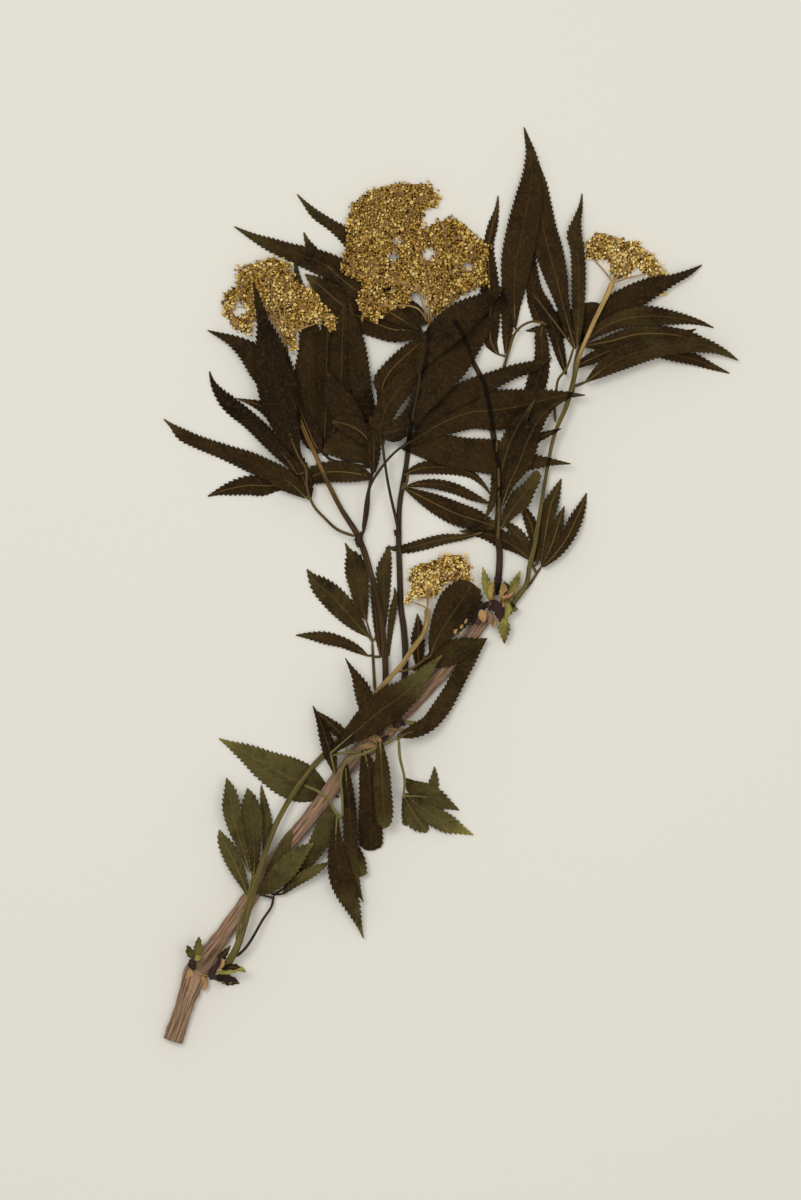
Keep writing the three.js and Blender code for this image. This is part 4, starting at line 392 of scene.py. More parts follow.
def underStretch(a, b, spare=0.0):
    reach = max(a.left, a.right, b.left, b.right) + laying["margin"] + spare
    xs = np.arange(math.floor(min(a.x, b.x) - reach), math.floor(max(a.x, b.x) + reach) + 1)
    ys = np.arange(math.floor(min(a.y, b.y) - reach), math.floor(max(a.y, b.y) + reach) + 1)
    gx, gy = np.meshgrid(xs, ys)
    dx, dy = b.x - a.x, b.y - a.y
    along = np.clip(((gx - a.x) * dx + (gy - a.y) * dy) / (dx * dx + dy * dy), 0, 1)
    offX, offY = gx - a.x - along * dx, gy - a.y - along * dy
    isLeft = dx * offY - dy * offX > 0
    width = np.where(isLeft, a.left + along * (b.left - a.left), a.right + along * (b.right - a.right))
    window = (slice(ys[0] + mapY, ys[-1] + mapY + 1), slice(xs[0] + mapX, xs[-1] + mapX + 1))
    return window, np.hypot(offX, offY) <= width + laying["margin"] + spare


def highestUnder(area, a, b, spare=0.0):
    window, mask = underStretch(a, b, spare)
    return float(area[window][mask].max()) if mask.any() else 0.0


def raiseOver(area, a, b, top):
    window, mask = underStretch(a, b)
    part = area[window]
    part[mask] = np.maximum(part[mask], top)


def clearOf(height):
    return height + laying["gap"] if height > 0 else 0.0


def layLine(area, line, slope, spare=0.0):
    needs = [clearOf(highestUnder(area, a, b, spare)) for a, b in zip(line, line[1:])]
    lifts = [max(needs[max(0, k - 1)], needs[min(k, len(needs) - 1)]) for k in range(len(line))]
    steps = [slope * math.hypot(b.x - a.x, b.y - a.y) for a, b in zip(line, line[1:])]
    for k in range(1, len(lifts)):
        lifts[k] = max(lifts[k], lifts[k - 1] - steps[k - 1])
    for k in range(len(lifts) - 1, 0, -1):
        lifts[k - 1] = max(lifts[k - 1], lifts[k] - steps[k - 1])
    return lifts


def raiseLine(area, line):
    for a, b in zip(line, line[1:]):
        raiseOver(area, a, b, max(a.z, b.z) + max(a.height, b.height))


# smooth curve through points of any number of numbers, and the same curve at even steps
def curveThrough(points):
    pts = [np.array(p, float) for p in points]

    def at(t):
        p = (len(pts) - 1) * t
        k = min(int(p), len(pts) - 2)
        w = p - k
        p1, p2 = pts[k], pts[k + 1]
        p0 = pts[k - 1] if k > 0 else 2 * pts[0] - pts[1]
        p3 = pts[k + 2] if k + 2 < len(pts) else 2 * pts[-1] - pts[-2]
        d1 = max(np.dot(p2 - p1, p2 - p1) ** 0.25, 1e-4)
        d0 = max(np.dot(p1 - p0, p1 - p0) ** 0.25, 1e-4)
        d2 = max(np.dot(p3 - p2, p3 - p2) ** 0.25, 1e-4)
        t1 = ((p1 - p0) / d0 - (p2 - p0) / (d0 + d1) + (p2 - p1) / d1) * d1
        t2 = ((p2 - p1) / d1 - (p3 - p1) / (d1 + d2) + (p3 - p2) / d2) * d1
        return p1 + t1 * w + (-3 * p1 + 3 * p2 - 2 * t1 - t2) * w * w + (2 * p1 - 2 * p2 + t1 + t2) * w ** 3
    ts = np.linspace(0, 1, laying["curveSteps"] + 1)
    lengths = np.concatenate([[0], np.cumsum([np.linalg.norm(at(b) - at(a)) for a, b in zip(ts, ts[1:])])])
    return at, ts, lengths


def pointAlong(curve, share):
    at, ts, lengths = curve
    return at(np.interp(lengths[-1] * share, lengths, ts))


def evenPoints(curve, count):
    return [pointAlong(curve, k / count) for k in range(count + 1)]


# ---- laying each kind of piece; what is laid is kept for the fine meshes
laid = {}


def layStem(name):
    spec = stems[name]
    curve = curveThrough(spec["points"])
    count = max(1, roundHalfUp(curve[2][-1] / laying["stemStep"]))
    line = [Station(x, y, width / 2, width / 2, width * laying["pressed"])
            for x, y, width in evenPoints(curve, count)]
    for station, lift in zip(line, layLine(heights, line, spec["slope"])):
        station.z = lift
    raiseLine(heights, line)
    laid[name] = {"curve": curve, "line": line}


def nearestOn(lines, x, y):
    best = (1e9, 0, 0, 0)
    for line in lines:
        for a, b in zip(line, line[1:]):
            dx, dy = b.x - a.x, b.y - a.y
            along = min(1, max(0, ((x - a.x) * dx + (y - a.y) * dy) / (dx * dx + dy * dy)))
            px, py = a.x + along * dx, a.y + along * dy
            distance = math.hypot(px - x, py - y)
            if distance < best[0]:
                best = (distance, px, py, a.z + along * (b.z - a.z))
    return best


def layLeaflet(points, number, ground, blades, stalkLines, stalkHeight):
    curve = curveThrough(points)
    teeth = max(2, roundHalfUp(curve[2][-1] / laying["toothPitch"]))
    rows = [(0, 1)]
    for tooth in range(teeth):
        rows.append(((tooth + laying["notchAt"]) / teeth, 1 - laying["toothDepth"] if tooth else 1))
        rows.append(((tooth + laying["pointAt"]) / teeth, 1))
    rows.append((1, 1))
    blade = []
    for s, share in rows:
        x, y, width = pointAlong(curve, s)
        half = max(laying["tipHalf"] if s == 1 else laying["stalkHalf"], width / 2 * share)
        blade.append(Station(x, y, half, half, laying["bladeThick"]))
    for station, lift in zip(blade, layLine(blades, blade, laying["bladeSlope"])):
        station.z = lift
    distance, rootX, rootY, rootZ = nearestOn(stalkLines, blade[0].x, blade[0].y)
    rootZ += (stalkHeight - laying["bladeThick"]) / 2 + laying["rootStep"] * (number % 5 - 2)
    count = 0 if distance < laying["shortStalk"] else math.ceil(distance / laying["stalkStep"])
    half = laying["stalkHalf"]
    stalk = [Station(rootX, rootY, half, half, laying["bladeThick"])]
    for k in range(1, count):
        x, y = rootX + (blade[0].x - rootX) * k / count, rootY + (blade[0].y - rootY) * k / count
        stalk.append(Station(x, y, half, half, laying["bladeThick"]))
    joined = stalk + blade[0 if count else 1:]
    clear = layLine(ground, joined, laying["anySlope"])
    for k in range(1, count):
        joined[k].z = max(clear[k], rootZ + (blade[0].z - rootZ) * k / count)
    joined[0].z = rootZ
    raiseLine(blades, blade)
    return {"curve": curve, "joined": joined, "stalk": stalk, "broken": points[-1][2] > 2,
            "s": [s for s, share in rows], "z": [station.z for station in blade]}


def layLeaf(name):
    global heights
    spec = leaves[name]
    stalkWidth = spec.get("stalkWidth", laying["rachisWidth"])
    stalkHeight = stalkWidth * laying["rachisHeight"] / laying["rachisWidth"]
    ground, blades = heights.copy(), heights.copy()
    stalkLines, curves, leaflets = [], [], []
    for points in spec["stalks"]:
        curve = curveThrough([(x, y, stalkWidth) for x, y in points])
        count = max(1, roundHalfUp(curve[2][-1] / laying["stemStep"]))
        line = [Station(p[0], p[1], p[2] / 2, p[2] / 2, stalkHeight) for p in evenPoints(curve, count)]
        for station, lift in zip(line, layLine(ground, line, laying["shootSlope"], laying["stalkSpare"])):
            station.z = lift + laying["stalkLift"]
        if stalkLines:
            line[0].z = nearestOn(stalkLines, line[0].x, line[0].y)[3]
        stalkLines.append(line)
        curves.append(curve)
    for number, points in enumerate(spec["leaflets"]):
        leaflets.append(layLeaflet(points, number, ground, blades, stalkLines, stalkHeight))
    heights = blades
    for line in stalkLines + [leaflet["joined"] for leaflet in leaflets]:
        raiseLine(heights, line)
    laid[name] = {"curves": curves, "lines": stalkLines, "leaflets": leaflets, "stalkWidth": stalkWidth}


def isInside(outline, x, y):
    inside = False
    for (ax, ay), (bx, by) in zip(outline, outline[1:] + outline[:1]):
        if (ay > y) != (by > y) and x < ax + (y - ay) / (by - ay) * (bx - ax):
            inside = not inside
    return inside


def layHead(name):
    outline, gaps, pitch = heads[name]["outline"], heads[name]["gaps"], laying["headPitch"]
    lowX, lowY = min(x for x, y in outline), min(y for x, y in outline)
    columns = math.ceil((max(x for x, y in outline) - lowX) / pitch)
    rows = math.ceil((max(y for x, y in outline) - lowY) / pitch)
    taken = {}
    for j in range(rows):
        for i in range(columns):
            x, y = lowX + (i + 0.5) * pitch, lowY + (j + 0.5) * pitch
            if isInside(outline, x, y) and not any(math.hypot(x - gx, y - gy) < r for gx, gy, r in gaps):
                taken[i, j] = True
    for j in range(1, rows):
        for i in range(1, columns):
            corner = [(i, j) in taken, (i - 1, j - 1) in taken, (i - 1, j) in taken, (i, j - 1) in taken]
            if corner == [True, True, False, False]:
                taken[i - 1, j] = True
            if corner == [False, False, True, True]:
                taken[i, j] = True
    reach = laying["rimFloret"] + laying["margin"] + laying["rimSpare"]

    def windowOf(i, j):
        spans = []
        for low, k, half in ((lowY, j, mapY), (lowX, i, mapX)):
            first = math.ceil(low + k * pitch - reach)
            last = math.floor(low + (k + 1) * pitch + reach)
            spans.append(slice(first + half, last + half + 1))
        return tuple(spans)
    lifts = {}
    for i, j in taken:
        need = clearOf(float(heights[windowOf(i, j)].max()))
        for corner in ((i, j), (i + 1, j), (i + 1, j + 1), (i, j + 1)):
            lifts[corner] = max(lifts.get(corner, 0), need)
    drop = laying["bladeSlope"] * pitch
    for turn in range(laying["headPasses"]):
        for (i, j), lift in lifts.items():
            for beside in ((i - 1, j), (i + 1, j), (i, j - 1), (i, j + 1)):
                if beside in lifts and lifts[beside] < lift - drop:
                    lifts[beside] = lift - drop
    for i, j in taken:
        top = max(lifts[c] for c in ((i, j), (i + 1, j), (i + 1, j + 1), (i, j + 1)))
        top += laying["headCore"] + laying["floretRise"]
        area = heights[windowOf(i, j)]
        np.maximum(area, top, out=area)
    laid[name] = {"lifts": lifts, "low": (lowX, lowY)}


for name in order:
    if name in stems:
        layStem(name)
    elif name in leaves:
        layLeaf(name)
    else:
        layHead(name)
print("laid", len(laid), "pieces")


# ---- shader helper: a wire is a socket whose sums and products add Math nodes
class Wire:
    def __init__(self, maker, socket):
        self.maker, self.socket = maker, socket

    def __add__(self, other):
        return self.maker.math("ADD", self, other)

    def __sub__(self, other):
        return self.maker.math("SUBTRACT", self, other)

    def __rsub__(self, other):
        return self.maker.math("SUBTRACT", other, self)

    def __mul__(self, other):
        return self.maker.math("MULTIPLY", self, other)

    def __truediv__(self, other):
        return self.maker.math("DIVIDE", self, other)


class MaterialMaker:
    def __init__(self, name):
        self.material = bpy.data.materials.new(name)
        self.material.use_nodes = True
        self.tree = self.material.node_tree
        self.shader = self.tree.nodes["Principled BSDF"]

    def node(self, kind, settings=None, values=None):
        made = self.tree.nodes.new(kind)
        for key, value in (settings or {}).items():
            if key == "stops":
                ramp = made.color_ramp.elements
                while len(ramp) < len(value):
                    ramp.new(0.5)
                for stop, (place, colour) in zip(ramp, value):
                    stop.position = place
                    stop.color = (*colour, 1)
            else:
                setattr(made, key, value)
        for key, value in (values or {}).items():
            self.feed(made.inputs[key], value)
        return made

    def feed(self, socket, value):
        if isinstance(value, Wire):
            self.tree.links.new(value.socket, socket)
        elif socket.type == "RGBA" and len(value) == 3:
            socket.default_value = (*value, 1)
        else:
            socket.default_value = value

    def wire(self, node, output=0):
        return Wire(self, node.outputs[output])

    def math(self, operation, first, second=None):
        values = {0: first} if second is None else {0: first, 1: second}
        return self.wire(self.node("ShaderNodeMath", {"operation": operation}, values))

    def ramp(self, stops, value):
        return self.wire(self.node("ShaderNodeValToRGB", {"stops": stops}, {0: value}))

    def flatMap(self):
        return self.wire(self.node("ShaderNodeUVMap", {"uv_map": "flat"}))

    def place(self):
        return self.wire(self.node("ShaderNodeTexCoord"), "Object")

    def attribute(self, name):
        return self.wire(self.node("ShaderNodeAttribute", {"attribute_name": name}), "Fac")

    def noise(self, scale, detail=3.0, rough=0.55, at=None):
        values = {"Vector": at or self.place(), "Scale": scale, "Detail": detail, "Roughness": rough}
        return self.wire(self.node("ShaderNodeTexNoise", None, values), 0)

    def step(self, value, low, high):
        values = {"Value": value, "From Min": low, "From Max": high, "To Min": 0.0, "To Max": 1.0}
        return self.wire(self.node("ShaderNodeMapRange", {"interpolation_type": "SMOOTHSTEP"}, values), 0)

    def mix(self, share, first, second, blend="MIX"):
        settings = {"data_type": "RGBA", "blend_type": blend}
        return self.wire(self.node("ShaderNodeMix", settings, {0: share, 6: first, 7: second}), 2)

    def bump(self, height, distance, strength=1.0):
        values = {"Height": height, "Distance": distance, "Strength": strength}
        return self.wire(self.node("ShaderNodeBump", None, values), "Normal")

    def finish(self, **sockets):
        for key, value in sockets.items():
            self.feed(self.shader.inputs[key.replace("_", " ")], value)
        return self.material


def srgb(r, g, b):
    return tuple((c / 255 / 12.92) if c <= 10.31 else ((c / 255 + 0.055) / 1.055) ** 2.4 for c in (r, g, b))


# ---- dried leaf: dark brown to olive, thin tan midrib, forward-running side veins
leafLook = {
    "tones": ((-1, srgb(24, 16, 9)), (0, srgb(54, 39, 19)), (1, srgb(90, 83, 45)), (2, srgb(160, 150, 74)),
              (3, srgb(176, 140, 84))),
    # pressed is the near-black colour of the painted shade along shoots that lie under a leaf
    "black": srgb(20, 14, 8), "rib": srgb(142, 112, 62), "pressed": srgb(12, 8, 5),
    "ribHalf": 0.11, "ribSoft": 2.4, "ribShare": 0.62, "roughness": 0.8, "shine": 0.05, "relief": 0.00022,
    "veinPitch": 2.1, "veinLean": 1.15, "veinBend": 0.05, "veinStagger": 0.45, "veinWobble": 0.35,
    "veinHalf": 0.07, "veinShare": 0.12, "netScale": 1300.0, "netWidth": 0.12,
    "cloudScale": 75.0, "cloudTone": 0.9, "broadScale": 22.0, "broadTone": 0.5,
    "grainScale": 800.0, "grainShare": 0.13, "streakFine": 3.4, "streakShare": 0.66,
    # ragged edge and share of that painted shade along the shoots under a leaf
    "pressShadeRagged": 1.1, "pressShadeShare": 0.8,
    # dark spots: noise scale, detail, roughness, the noise where they start and are full, and their share
    "spots": ((52.0, 4.0, 0.62, 0.48, 0.68, 0.75), (150.0, 3.0, 0.55, 0.52, 0.68, 0.45)),
}


def leafMaterial():
    look = leafLook
    m = MaterialMaker("driedLeaf")
    parts = m.node("ShaderNodeSeparateXYZ", None, {0: m.flatMap()})
    across, along = m.wire(parts, 0), m.wire(parts, 1)
    side, sign = m.math("ABSOLUTE", across), m.math("GREATER_THAN", across, 0.0)
    wobble = m.noise(260.0, 2.0)
    place = (along - side * look["veinLean"] - side * side * look["veinBend"]) / look["veinPitch"]
    place = place + sign * look["veinStagger"] + (wobble - 0.5) * look["veinWobble"]
    vein = 1.0 - m.step(m.math("ABSOLUTE", m.math("FRACT", place) - 0.5), 0.0, look["veinHalf"])
    ribbed = m.attribute("ribbed")
    rib = 1.0 - m.step(side, look["ribHalf"], look["ribHalf"] * look["ribSoft"])
    streakPlace = {0: place * look["streakFine"], 1: side * 0.3 + sign * 7.0, 2: ribbed * 9.0}
    streak = m.noise(1.0, 3.0, 0.6, m.wire(m.node("ShaderNodeCombineXYZ", None, streakPlace)))
    cloud, grain = m.noise(look["cloudScale"], 4.0, 0.6), m.noise(look["grainScale"], 3.0, 0.6)
    netPlace = {"Scale": look["netScale"], "Vector": m.place()}
    net = m.wire(m.node("ShaderNodeTexVoronoi", {"feature": "DISTANCE_TO_EDGE"}, netPlace))
    tone = m.attribute("tone") + (cloud - 0.5) * look["cloudTone"]
    tone = tone + (m.noise(look["broadScale"], 2.0) - 0.5) * look["broadTone"]
    colour = m.ramp([((value + 1) / 4, shade) for value, shade in look["tones"]], tone * 0.25 + 0.25)
    colour = m.mix(m.step(streak, 0.46, 0.8) * look["streakShare"], colour, look["black"])
    for scale, detail, rough, start, full, share in look["spots"]:
        colour = m.mix(m.step(m.noise(scale, detail, rough), start, full) * share, colour, look["black"])
    colour = m.mix(m.step(grain, 0.45, 0.8) * look["grainShare"], colour, look["rib"])
    colour = m.mix(vein * look["veinShare"], colour, look["rib"])
    colour = m.mix(rib * ribbed * look["ribShare"], colour, look["rib"])
    # painted shade along the shoots lying under the blade: darkened towards the pressed colour with a ragged
    # edge
    ragged = (m.noise(260.0, 3.0) - 0.5) * look["pressShadeRagged"]
    pressed = m.step(m.attribute("press") + ragged, 0.3, 1.0)
    colour = m.mix(pressed * look["pressShadeShare"], colour, look["pressed"])
    relief = vein * 0.5 + m.step(net, 0.0, look["netWidth"]) * 0.25 + grain * 0.5 + streak * 0.7 + cloud * 0.6
    return m.finish(Base_Color=colour, Roughness=look["roughness"], Specular_IOR_Level=look["shine"],
                    Normal=m.bump(relief, look["relief"], 0.8))


# ---- stems and leaf stalks: light, dark and patch colours, and the light and dark that some turn to
skinLooks = {
    "wood": (srgb(170, 137, 107), srgb(84, 61, 44), srgb(66, 46, 34)),
    "green_stem": (srgb(118, 106, 54), srgb(66, 55, 28), srgb(50, 36, 18), srgb(200, 168, 108),
                   srgb(142, 108, 60)),
    "brown_stem": (srgb(74, 57, 35), srgb(34, 24, 14), srgb(24, 16, 10)),
    "gold_stem": (srgb(82, 60, 34), srgb(40, 27, 15), srgb(34, 22, 12), srgb(140, 106, 54),
                  srgb(72, 48, 22)),
    "dark_buds": (srgb(92, 58, 54), srgb(40, 22, 26), srgb(28, 16, 18)),
    "green_buds": (srgb(104, 70, 58), srgb(54, 34, 32), srgb(34, 20, 20)),
    "stalk": (srgb(120, 98, 52), srgb(52, 40, 21), srgb(34, 24, 12)),
    "green_stalk": (srgb(142, 132, 76), srgb(80, 72, 36), srgb(54, 44, 22)),
    "scale": (srgb(206, 164, 112), srgb(150, 104, 64), srgb(104, 66, 40)),
    "purple": (srgb(74, 52, 44), srgb(26, 17, 16), srgb(14, 9, 9)),
    "dark": (srgb(46, 32, 22), srgb(18, 12, 9), srgb(10, 7, 6)),
    "fresh": (srgb(170, 162, 82), srgb(116, 106, 44), srgb(84, 70, 30)),
    "ray": (srgb(196, 162, 108), srgb(132, 98, 58), srgb(98, 66, 36)),
}
skinGrain = {
    "stretch": (2.8, 0.07, 1.0), "fineScale": 3.0, "patchScale": 90.0, "fineShare": 0.35, "patchShare": 0.55,
    # the press share is how much painted shade darkens a skin where something lies under it
    "pressShadeShare": 0.85, "roughness": 0.75, "shine": 0.15, "relief": 0.0003,
}


def skinMaterial(name):
    light, dark, patch, *above = skinLooks[name]
    lightAbove, darkAbove = above or (light, dark)
    m = MaterialMaker("skin_" + name)
    stretched = {"Vector": m.flatMap(), "Scale": skinGrain["stretch"]}
    stretched = m.wire(m.node("ShaderNodeMapping", None, stretched))
    lines, fine = m.noise(1.0, 4.0, 0.62, stretched), m.noise(skinGrain["fineScale"], 2.0, 0.6, stretched)
    patches = m.noise(skinGrain["patchScale"], 3.0)
    turned = m.attribute("tone")
    light, dark = m.mix(turned, light, lightAbove), m.mix(turned, dark, darkAbove)
    colour = m.mix(m.step(lines, 0.36, 0.62), dark, light)
    colour = m.mix(m.step(fine, 0.56, 0.7) * skinGrain["fineShare"], colour, patch)
    colour = m.mix(m.step(patches, 0.54, 0.75) * skinGrain["patchShare"], colour, patch)
    # painted shade where something lies under, towards the patch colour
    colour = m.mix(m.attribute("press") * skinGrain["pressShadeShare"], colour, patch)
    return m.finish(Base_Color=colour, Roughness=skinGrain["roughness"],
                    Specular_IOR_Level=skinGrain["shine"],
                    Normal=m.bump(lines + fine * 0.5, skinGrain["relief"], 0.8))


# ---- dried flowers: petals from ochre to pale cream, darker stalks
flowerLook = {
    "deep": srgb(60, 38, 12), "dull": srgb(160, 122, 54), "middle": srgb(222, 184, 96),
    "pale": srgb(252, 232, 164), "heart": srgb(234, 196, 82), "stalk": srgb(172, 138, 92),
    # gap is painted shade, the darkest pits of the felt between the florets
    "gap": srgb(40, 24, 9), "roughness": 0.85, "shine": 0.1, "petalAt": (0.0, 0.3, 0.62, 1.0),
    "mottle": ((1300.0, 1.4), (110.0, 0.5), (340.0, 0.9)), "feltAt": (0.34, 0.46, 0.54, 0.7),
    "feltScale": 1250.0, "feltBroad": 420.0, "feltStalks": 0.6, "feltRelief": 0.0004,
}


def flowerMaterial():
    m = MaterialMaker("driedFlower")
    part, shade = m.attribute("part"), m.attribute("tint")
    for scale, size in flowerLook["mottle"]:
        shade = shade + (m.noise(scale, 2.0) - 0.5) * size
    shades = [flowerLook[key] for key in ("deep", "dull", "middle", "pale")]
    petal = m.ramp(list(zip(flowerLook["petalAt"], shades)), shade)
    colour = m.mix(m.step(part, 0.25, 0.3), petal, flowerLook["heart"])
    colour = m.mix(m.step(part, 0.75, 0.8), colour, flowerLook["stalk"])
    return m.finish(Base_Color=colour, Roughness=flowerLook["roughness"],
                    Specular_IOR_Level=flowerLook["shine"])


def feltAndShadeMaterial():
    m = MaterialMaker("flowerStalkFeltAndShade")
    grain, broad = m.noise(flowerLook["feltScale"], 3.0, 0.65), m.noise(flowerLook["feltBroad"], 3.0)
    # the felt runs from painted shade in its pits, the gap colour, over deep and dull to middle
    shades = [flowerLook[key] for key in ("gap", "deep", "dull", "middle")]
    colour = m.ramp(list(zip(flowerLook["feltAt"], shades)), grain)
    colour = m.mix(m.step(broad, 0.52, 0.66) * flowerLook["feltStalks"], colour, flowerLook["stalk"])
    return m.finish(Base_Color=colour, Roughness=0.9, Specular_IOR_Level=0.05,
                    Normal=m.bump(grain, flowerLook["feltRelief"]))


materials = {"leaf": leafMaterial(), "flower": flowerMaterial(), "feltAndShade": feltAndShadeMaterial()}
for name in skinLooks:
    materials[name] = skinMaterial(name)
print("made", len(materials), "materials")


# ---- meshes: points in mm are gathered and turned to metres at the end
lowest = 0.02


def markPoints(mesh, name, values):
    mesh.attributes.new(name, "FLOAT", "POINT").data.foreach_set("value", values)


def shown(made):
    bpy.context.scene.collection.objects.link(made)
    return made


class MeshBuilder:
    def __init__(self):
        self.points, self.faces, self.uvs, self.slots = [], [], [], []
        self.marks = {"tone": [], "press": [], "ribbed": []}

    # closed sleeve of rings; its ends are closed by pairing the ring's two halves
    def sleeve(self, rings, across, along, slot, **marks):
        rows, sides = rings.shape[0], rings.shape[1]
        start = len(self.points)
        self.points.extend(rings.reshape(-1, 3).tolist())
        for key, kept in self.marks.items():
            kept.extend(np.broadcast_to(marks.get(key, 0.0), (rows, sides)).ravel().tolist())
        ringIndex = np.arange(rows * sides).reshape(rows, sides) + start
        near, far = ringIndex[:-1], ringIndex[1:]
        quads = np.stack([near, np.roll(near, -1, 1), np.roll(far, -1, 1), far], -1).reshape(-1, 4)
        last = across[:, sides:] if across.shape[1] > sides else across[:, :1]
        nextAcross = np.concatenate([across[:, 1:sides], last], 1)
        mapAcross = np.stack([across[:-1, :sides], nextAcross[:-1], nextAcross[1:], across[1:, :sides]], -1)
        mapAcross = mapAcross.reshape(-1, 4)
        rise = np.broadcast_to(along[:, None], (rows, sides))
        mapAlong = np.stack([rise[:-1], rise[:-1], rise[1:], rise[1:]], -1).reshape(-1, 4)
        faces = quads.tolist()
        uvs = np.stack([mapAcross, mapAlong], -1).reshape(-1, 2).tolist()
        half = sides // 2
        for row, flip in ((0, True), (rows - 1, False)):
            for k in range(half - 1):
                loop = [ringIndex[row, at] for at in (k, k + 1, sides - 2 - k, sides - 1 - k)]
                faces.append([int(c) for c in (loop[::-1] if flip else loop)])
                uvs.extend([[across[row, k], along[row]]] * 4)
        a, b = np.array(self.points[start:]), np.array([f[:3] for f in faces]) - start
        volume = np.einsum("ij,ij->i", a[b[:, 0]], np.cross(a[b[:, 1]], a[b[:, 2]])).sum()
        if volume < 0:
            faces = [f[::-1] for f in faces]
            uvs = [uv for k in range(0, len(uvs), 4) for uv in uvs[k:k + 4][::-1]]
        self.faces.extend(faces)
        self.uvs.extend(uvs)
        self.slots.extend([slot] * len(faces))

    def finish(self, name, mats):
        mesh = bpy.data.meshes.new(name)
        place = (np.array(self.points) + placeShift) * mm
        place[:, 2] = np.maximum(place[:, 2], lowest * mm)
        mesh.from_pydata(place.tolist(), [], self.faces)
        mesh.uv_layers.new(name="flat").data.foreach_set("uv", np.array(self.uvs, np.float32).ravel())
        for key, kept in self.marks.items():
            markPoints(mesh, key, kept)
        for material in mats:
            mesh.materials.append(material)
        mesh.polygons.foreach_set("material_index", self.slots)
        mesh.polygons.foreach_set("use_smooth", [True] * len(self.faces))
        mesh.update()
        return shown(bpy.data.objects.new(name, mesh))


# where the laid pieces stand in the frame: the woody stem's own box gives the shift
def findShift():
    line = laid["main_stem"]["line"]
    xs, ys = [], []
    for k, station in enumerate(line):
        before, after = line[max(0, k - 1)], line[min(len(line) - 1, k + 1)]
        length = math.hypot(after.x - before.x, after.y - before.y)
        wayX, wayY = (after.x - before.x) / length, (after.y - before.y) / length
        for across in (-1, 1):
            xs.append(station.x + wayY * across * station.left)
            ys.append(station.y - wayX * across * station.left)
    low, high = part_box("main_stem")
    return np.array([(low.x + high.x) / 2 / mm - (min(xs) + max(xs)) / 2,
                     (low.y + high.y) / 2 / mm - (min(ys) + max(ys)) / 2, 0])


placeShift = findShift()


def smoothed(values, reach):
    kernel = np.hanning(2 * reach + 3)[1:-1]
    padded = np.pad(values, reach, mode="edge")
    return np.convolve(padded, kernel / kernel.sum(), "valid")


def waysAlong(points):
    ways = np.gradient(points, axis=0)
    return ways / np.maximum(np.linalg.norm(ways, axis=1, keepdims=True), 1e-9)


# round stalk along a line of x, y, z: two sets of ridges run along it, and rough is noise round and along it
ridgeLook = {"first": 5, "second": 9, "secondShare": 0.7, "roughAround": 1.6, "roughAlong": 0.32}


def ridged(angles, steps, ridges, rough, seed):
    swell = 1 + ridges * np.cos(angles * ridgeLook["first"] + seed)[None, :]
    second = ridges * ridgeLook["secondShare"]
    swell = swell + second * np.cos(angles * ridgeLook["second"] + seed * 2)[None, :]
    if rough:
        around, lengthwise = ridgeLook["roughAround"], ridgeLook["roughAlong"]
        bumps = [[noise.noise(Vector((math.cos(a) * around + seed, math.sin(a) * around, v * lengthwise)))
                  for a in angles] for v in steps]
        swell = swell + rough * np.array(bumps)
    return swell


def addTube(build, points, halfWidth, halfHeight, sides, slot, ridges=0.0, rough=0.0, seed=0, **marks):
    points = np.asarray(points, float)
    ways = waysAlong(points)
    across = np.stack([ways[:, 1], -ways[:, 0], np.zeros(len(points))], 1)
    across /= np.maximum(np.linalg.norm(across, axis=1, keepdims=True), 1e-9)
    upward = np.cross(across, ways)
    angles = (np.arange(sides) + 0.5) * 2 * math.pi / sides
    steps = np.concatenate([[0], np.cumsum(np.linalg.norm(np.diff(points, axis=0), axis=1))])
    wide = np.broadcast_to(halfWidth, len(points))[:, None]
    tall = np.broadcast_to(halfHeight, len(points))[:, None]
    swell = ridged(angles, steps, ridges, rough, seed)
    offX, offZ = wide * np.cos(angles) * swell, tall * np.sin(angles) * swell
    rings = points[:, None, :] + offX[..., None] * across[:, None, :] + offZ[..., None] * upward[:, None, :]
    turn = np.broadcast_to(np.arange(sides + 1) * 2 * math.pi / sides, (len(points), sides + 1))
    turn = turn * wide.mean()
    build.sleeve(rings, turn, steps, slot, **marks)


# ---- leaf blades with fine forward teeth, raised rib and a slight wave
bladeLook = {
    "toothPitch": 1.85, "toothDepth": 0.8, "toothForward": 0.9, "toothPoint": 0.75, "toothMiddle": 0.4,
    "fullToothHalf": 2.4, "thickness": 0.2, "lift": 0.22, "ribRise": 0.14, "ribHalf": 0.3, "tipHalf": 0.12,
    "rowsPerTooth": 5, "fewestRows": 24, "columns": (1, 0.86, 0.5, 0.1, 0, -0.1, -0.5, -0.86, -1),
    "wave": 0.26, "waveHalf": 3, "wavePower": 1.6, "ripples": ((0.6, 2.6), (0.5, 1.15), (0.8, 6.0)),
    "pucker": 0.05, "smoothing": 2.5, "pressWidth": 1.1, "pressRise": 0.12, "thinnest": 0.12,
    "brokenFrom": 0.93, "brokenOver": 0.07, "brokenShare": 0.75, "ribShares": (0.05, 0.2, 0.45, 1.0),
    "tipVariation": (0.1, 0.9), "toneVariation": (-0.4, 0.12),
}
stemPaths = {}


# how near a shoot lies under each point of a blade; it lifts a ridge over the shoot and sets the painted
# shade along it
def stemRidgeAndShadeUnder(name, xs, ys):
    press = np.zeros(xs.shape)
    for other in order[:order.index(name)]:
        if other in stemPaths and other != "main_stem":
            path = stemPaths[other]
            away = np.hypot(xs[..., None] - path[:, 0], ys[..., None] - path[:, 1])
            near = np.min(away - path[:, 2], -1)
            press = np.maximum(press, np.clip(1 - near / bladeLook["pressWidth"], 0, 1))
    return press * leaves[name].get("press", 1.0)


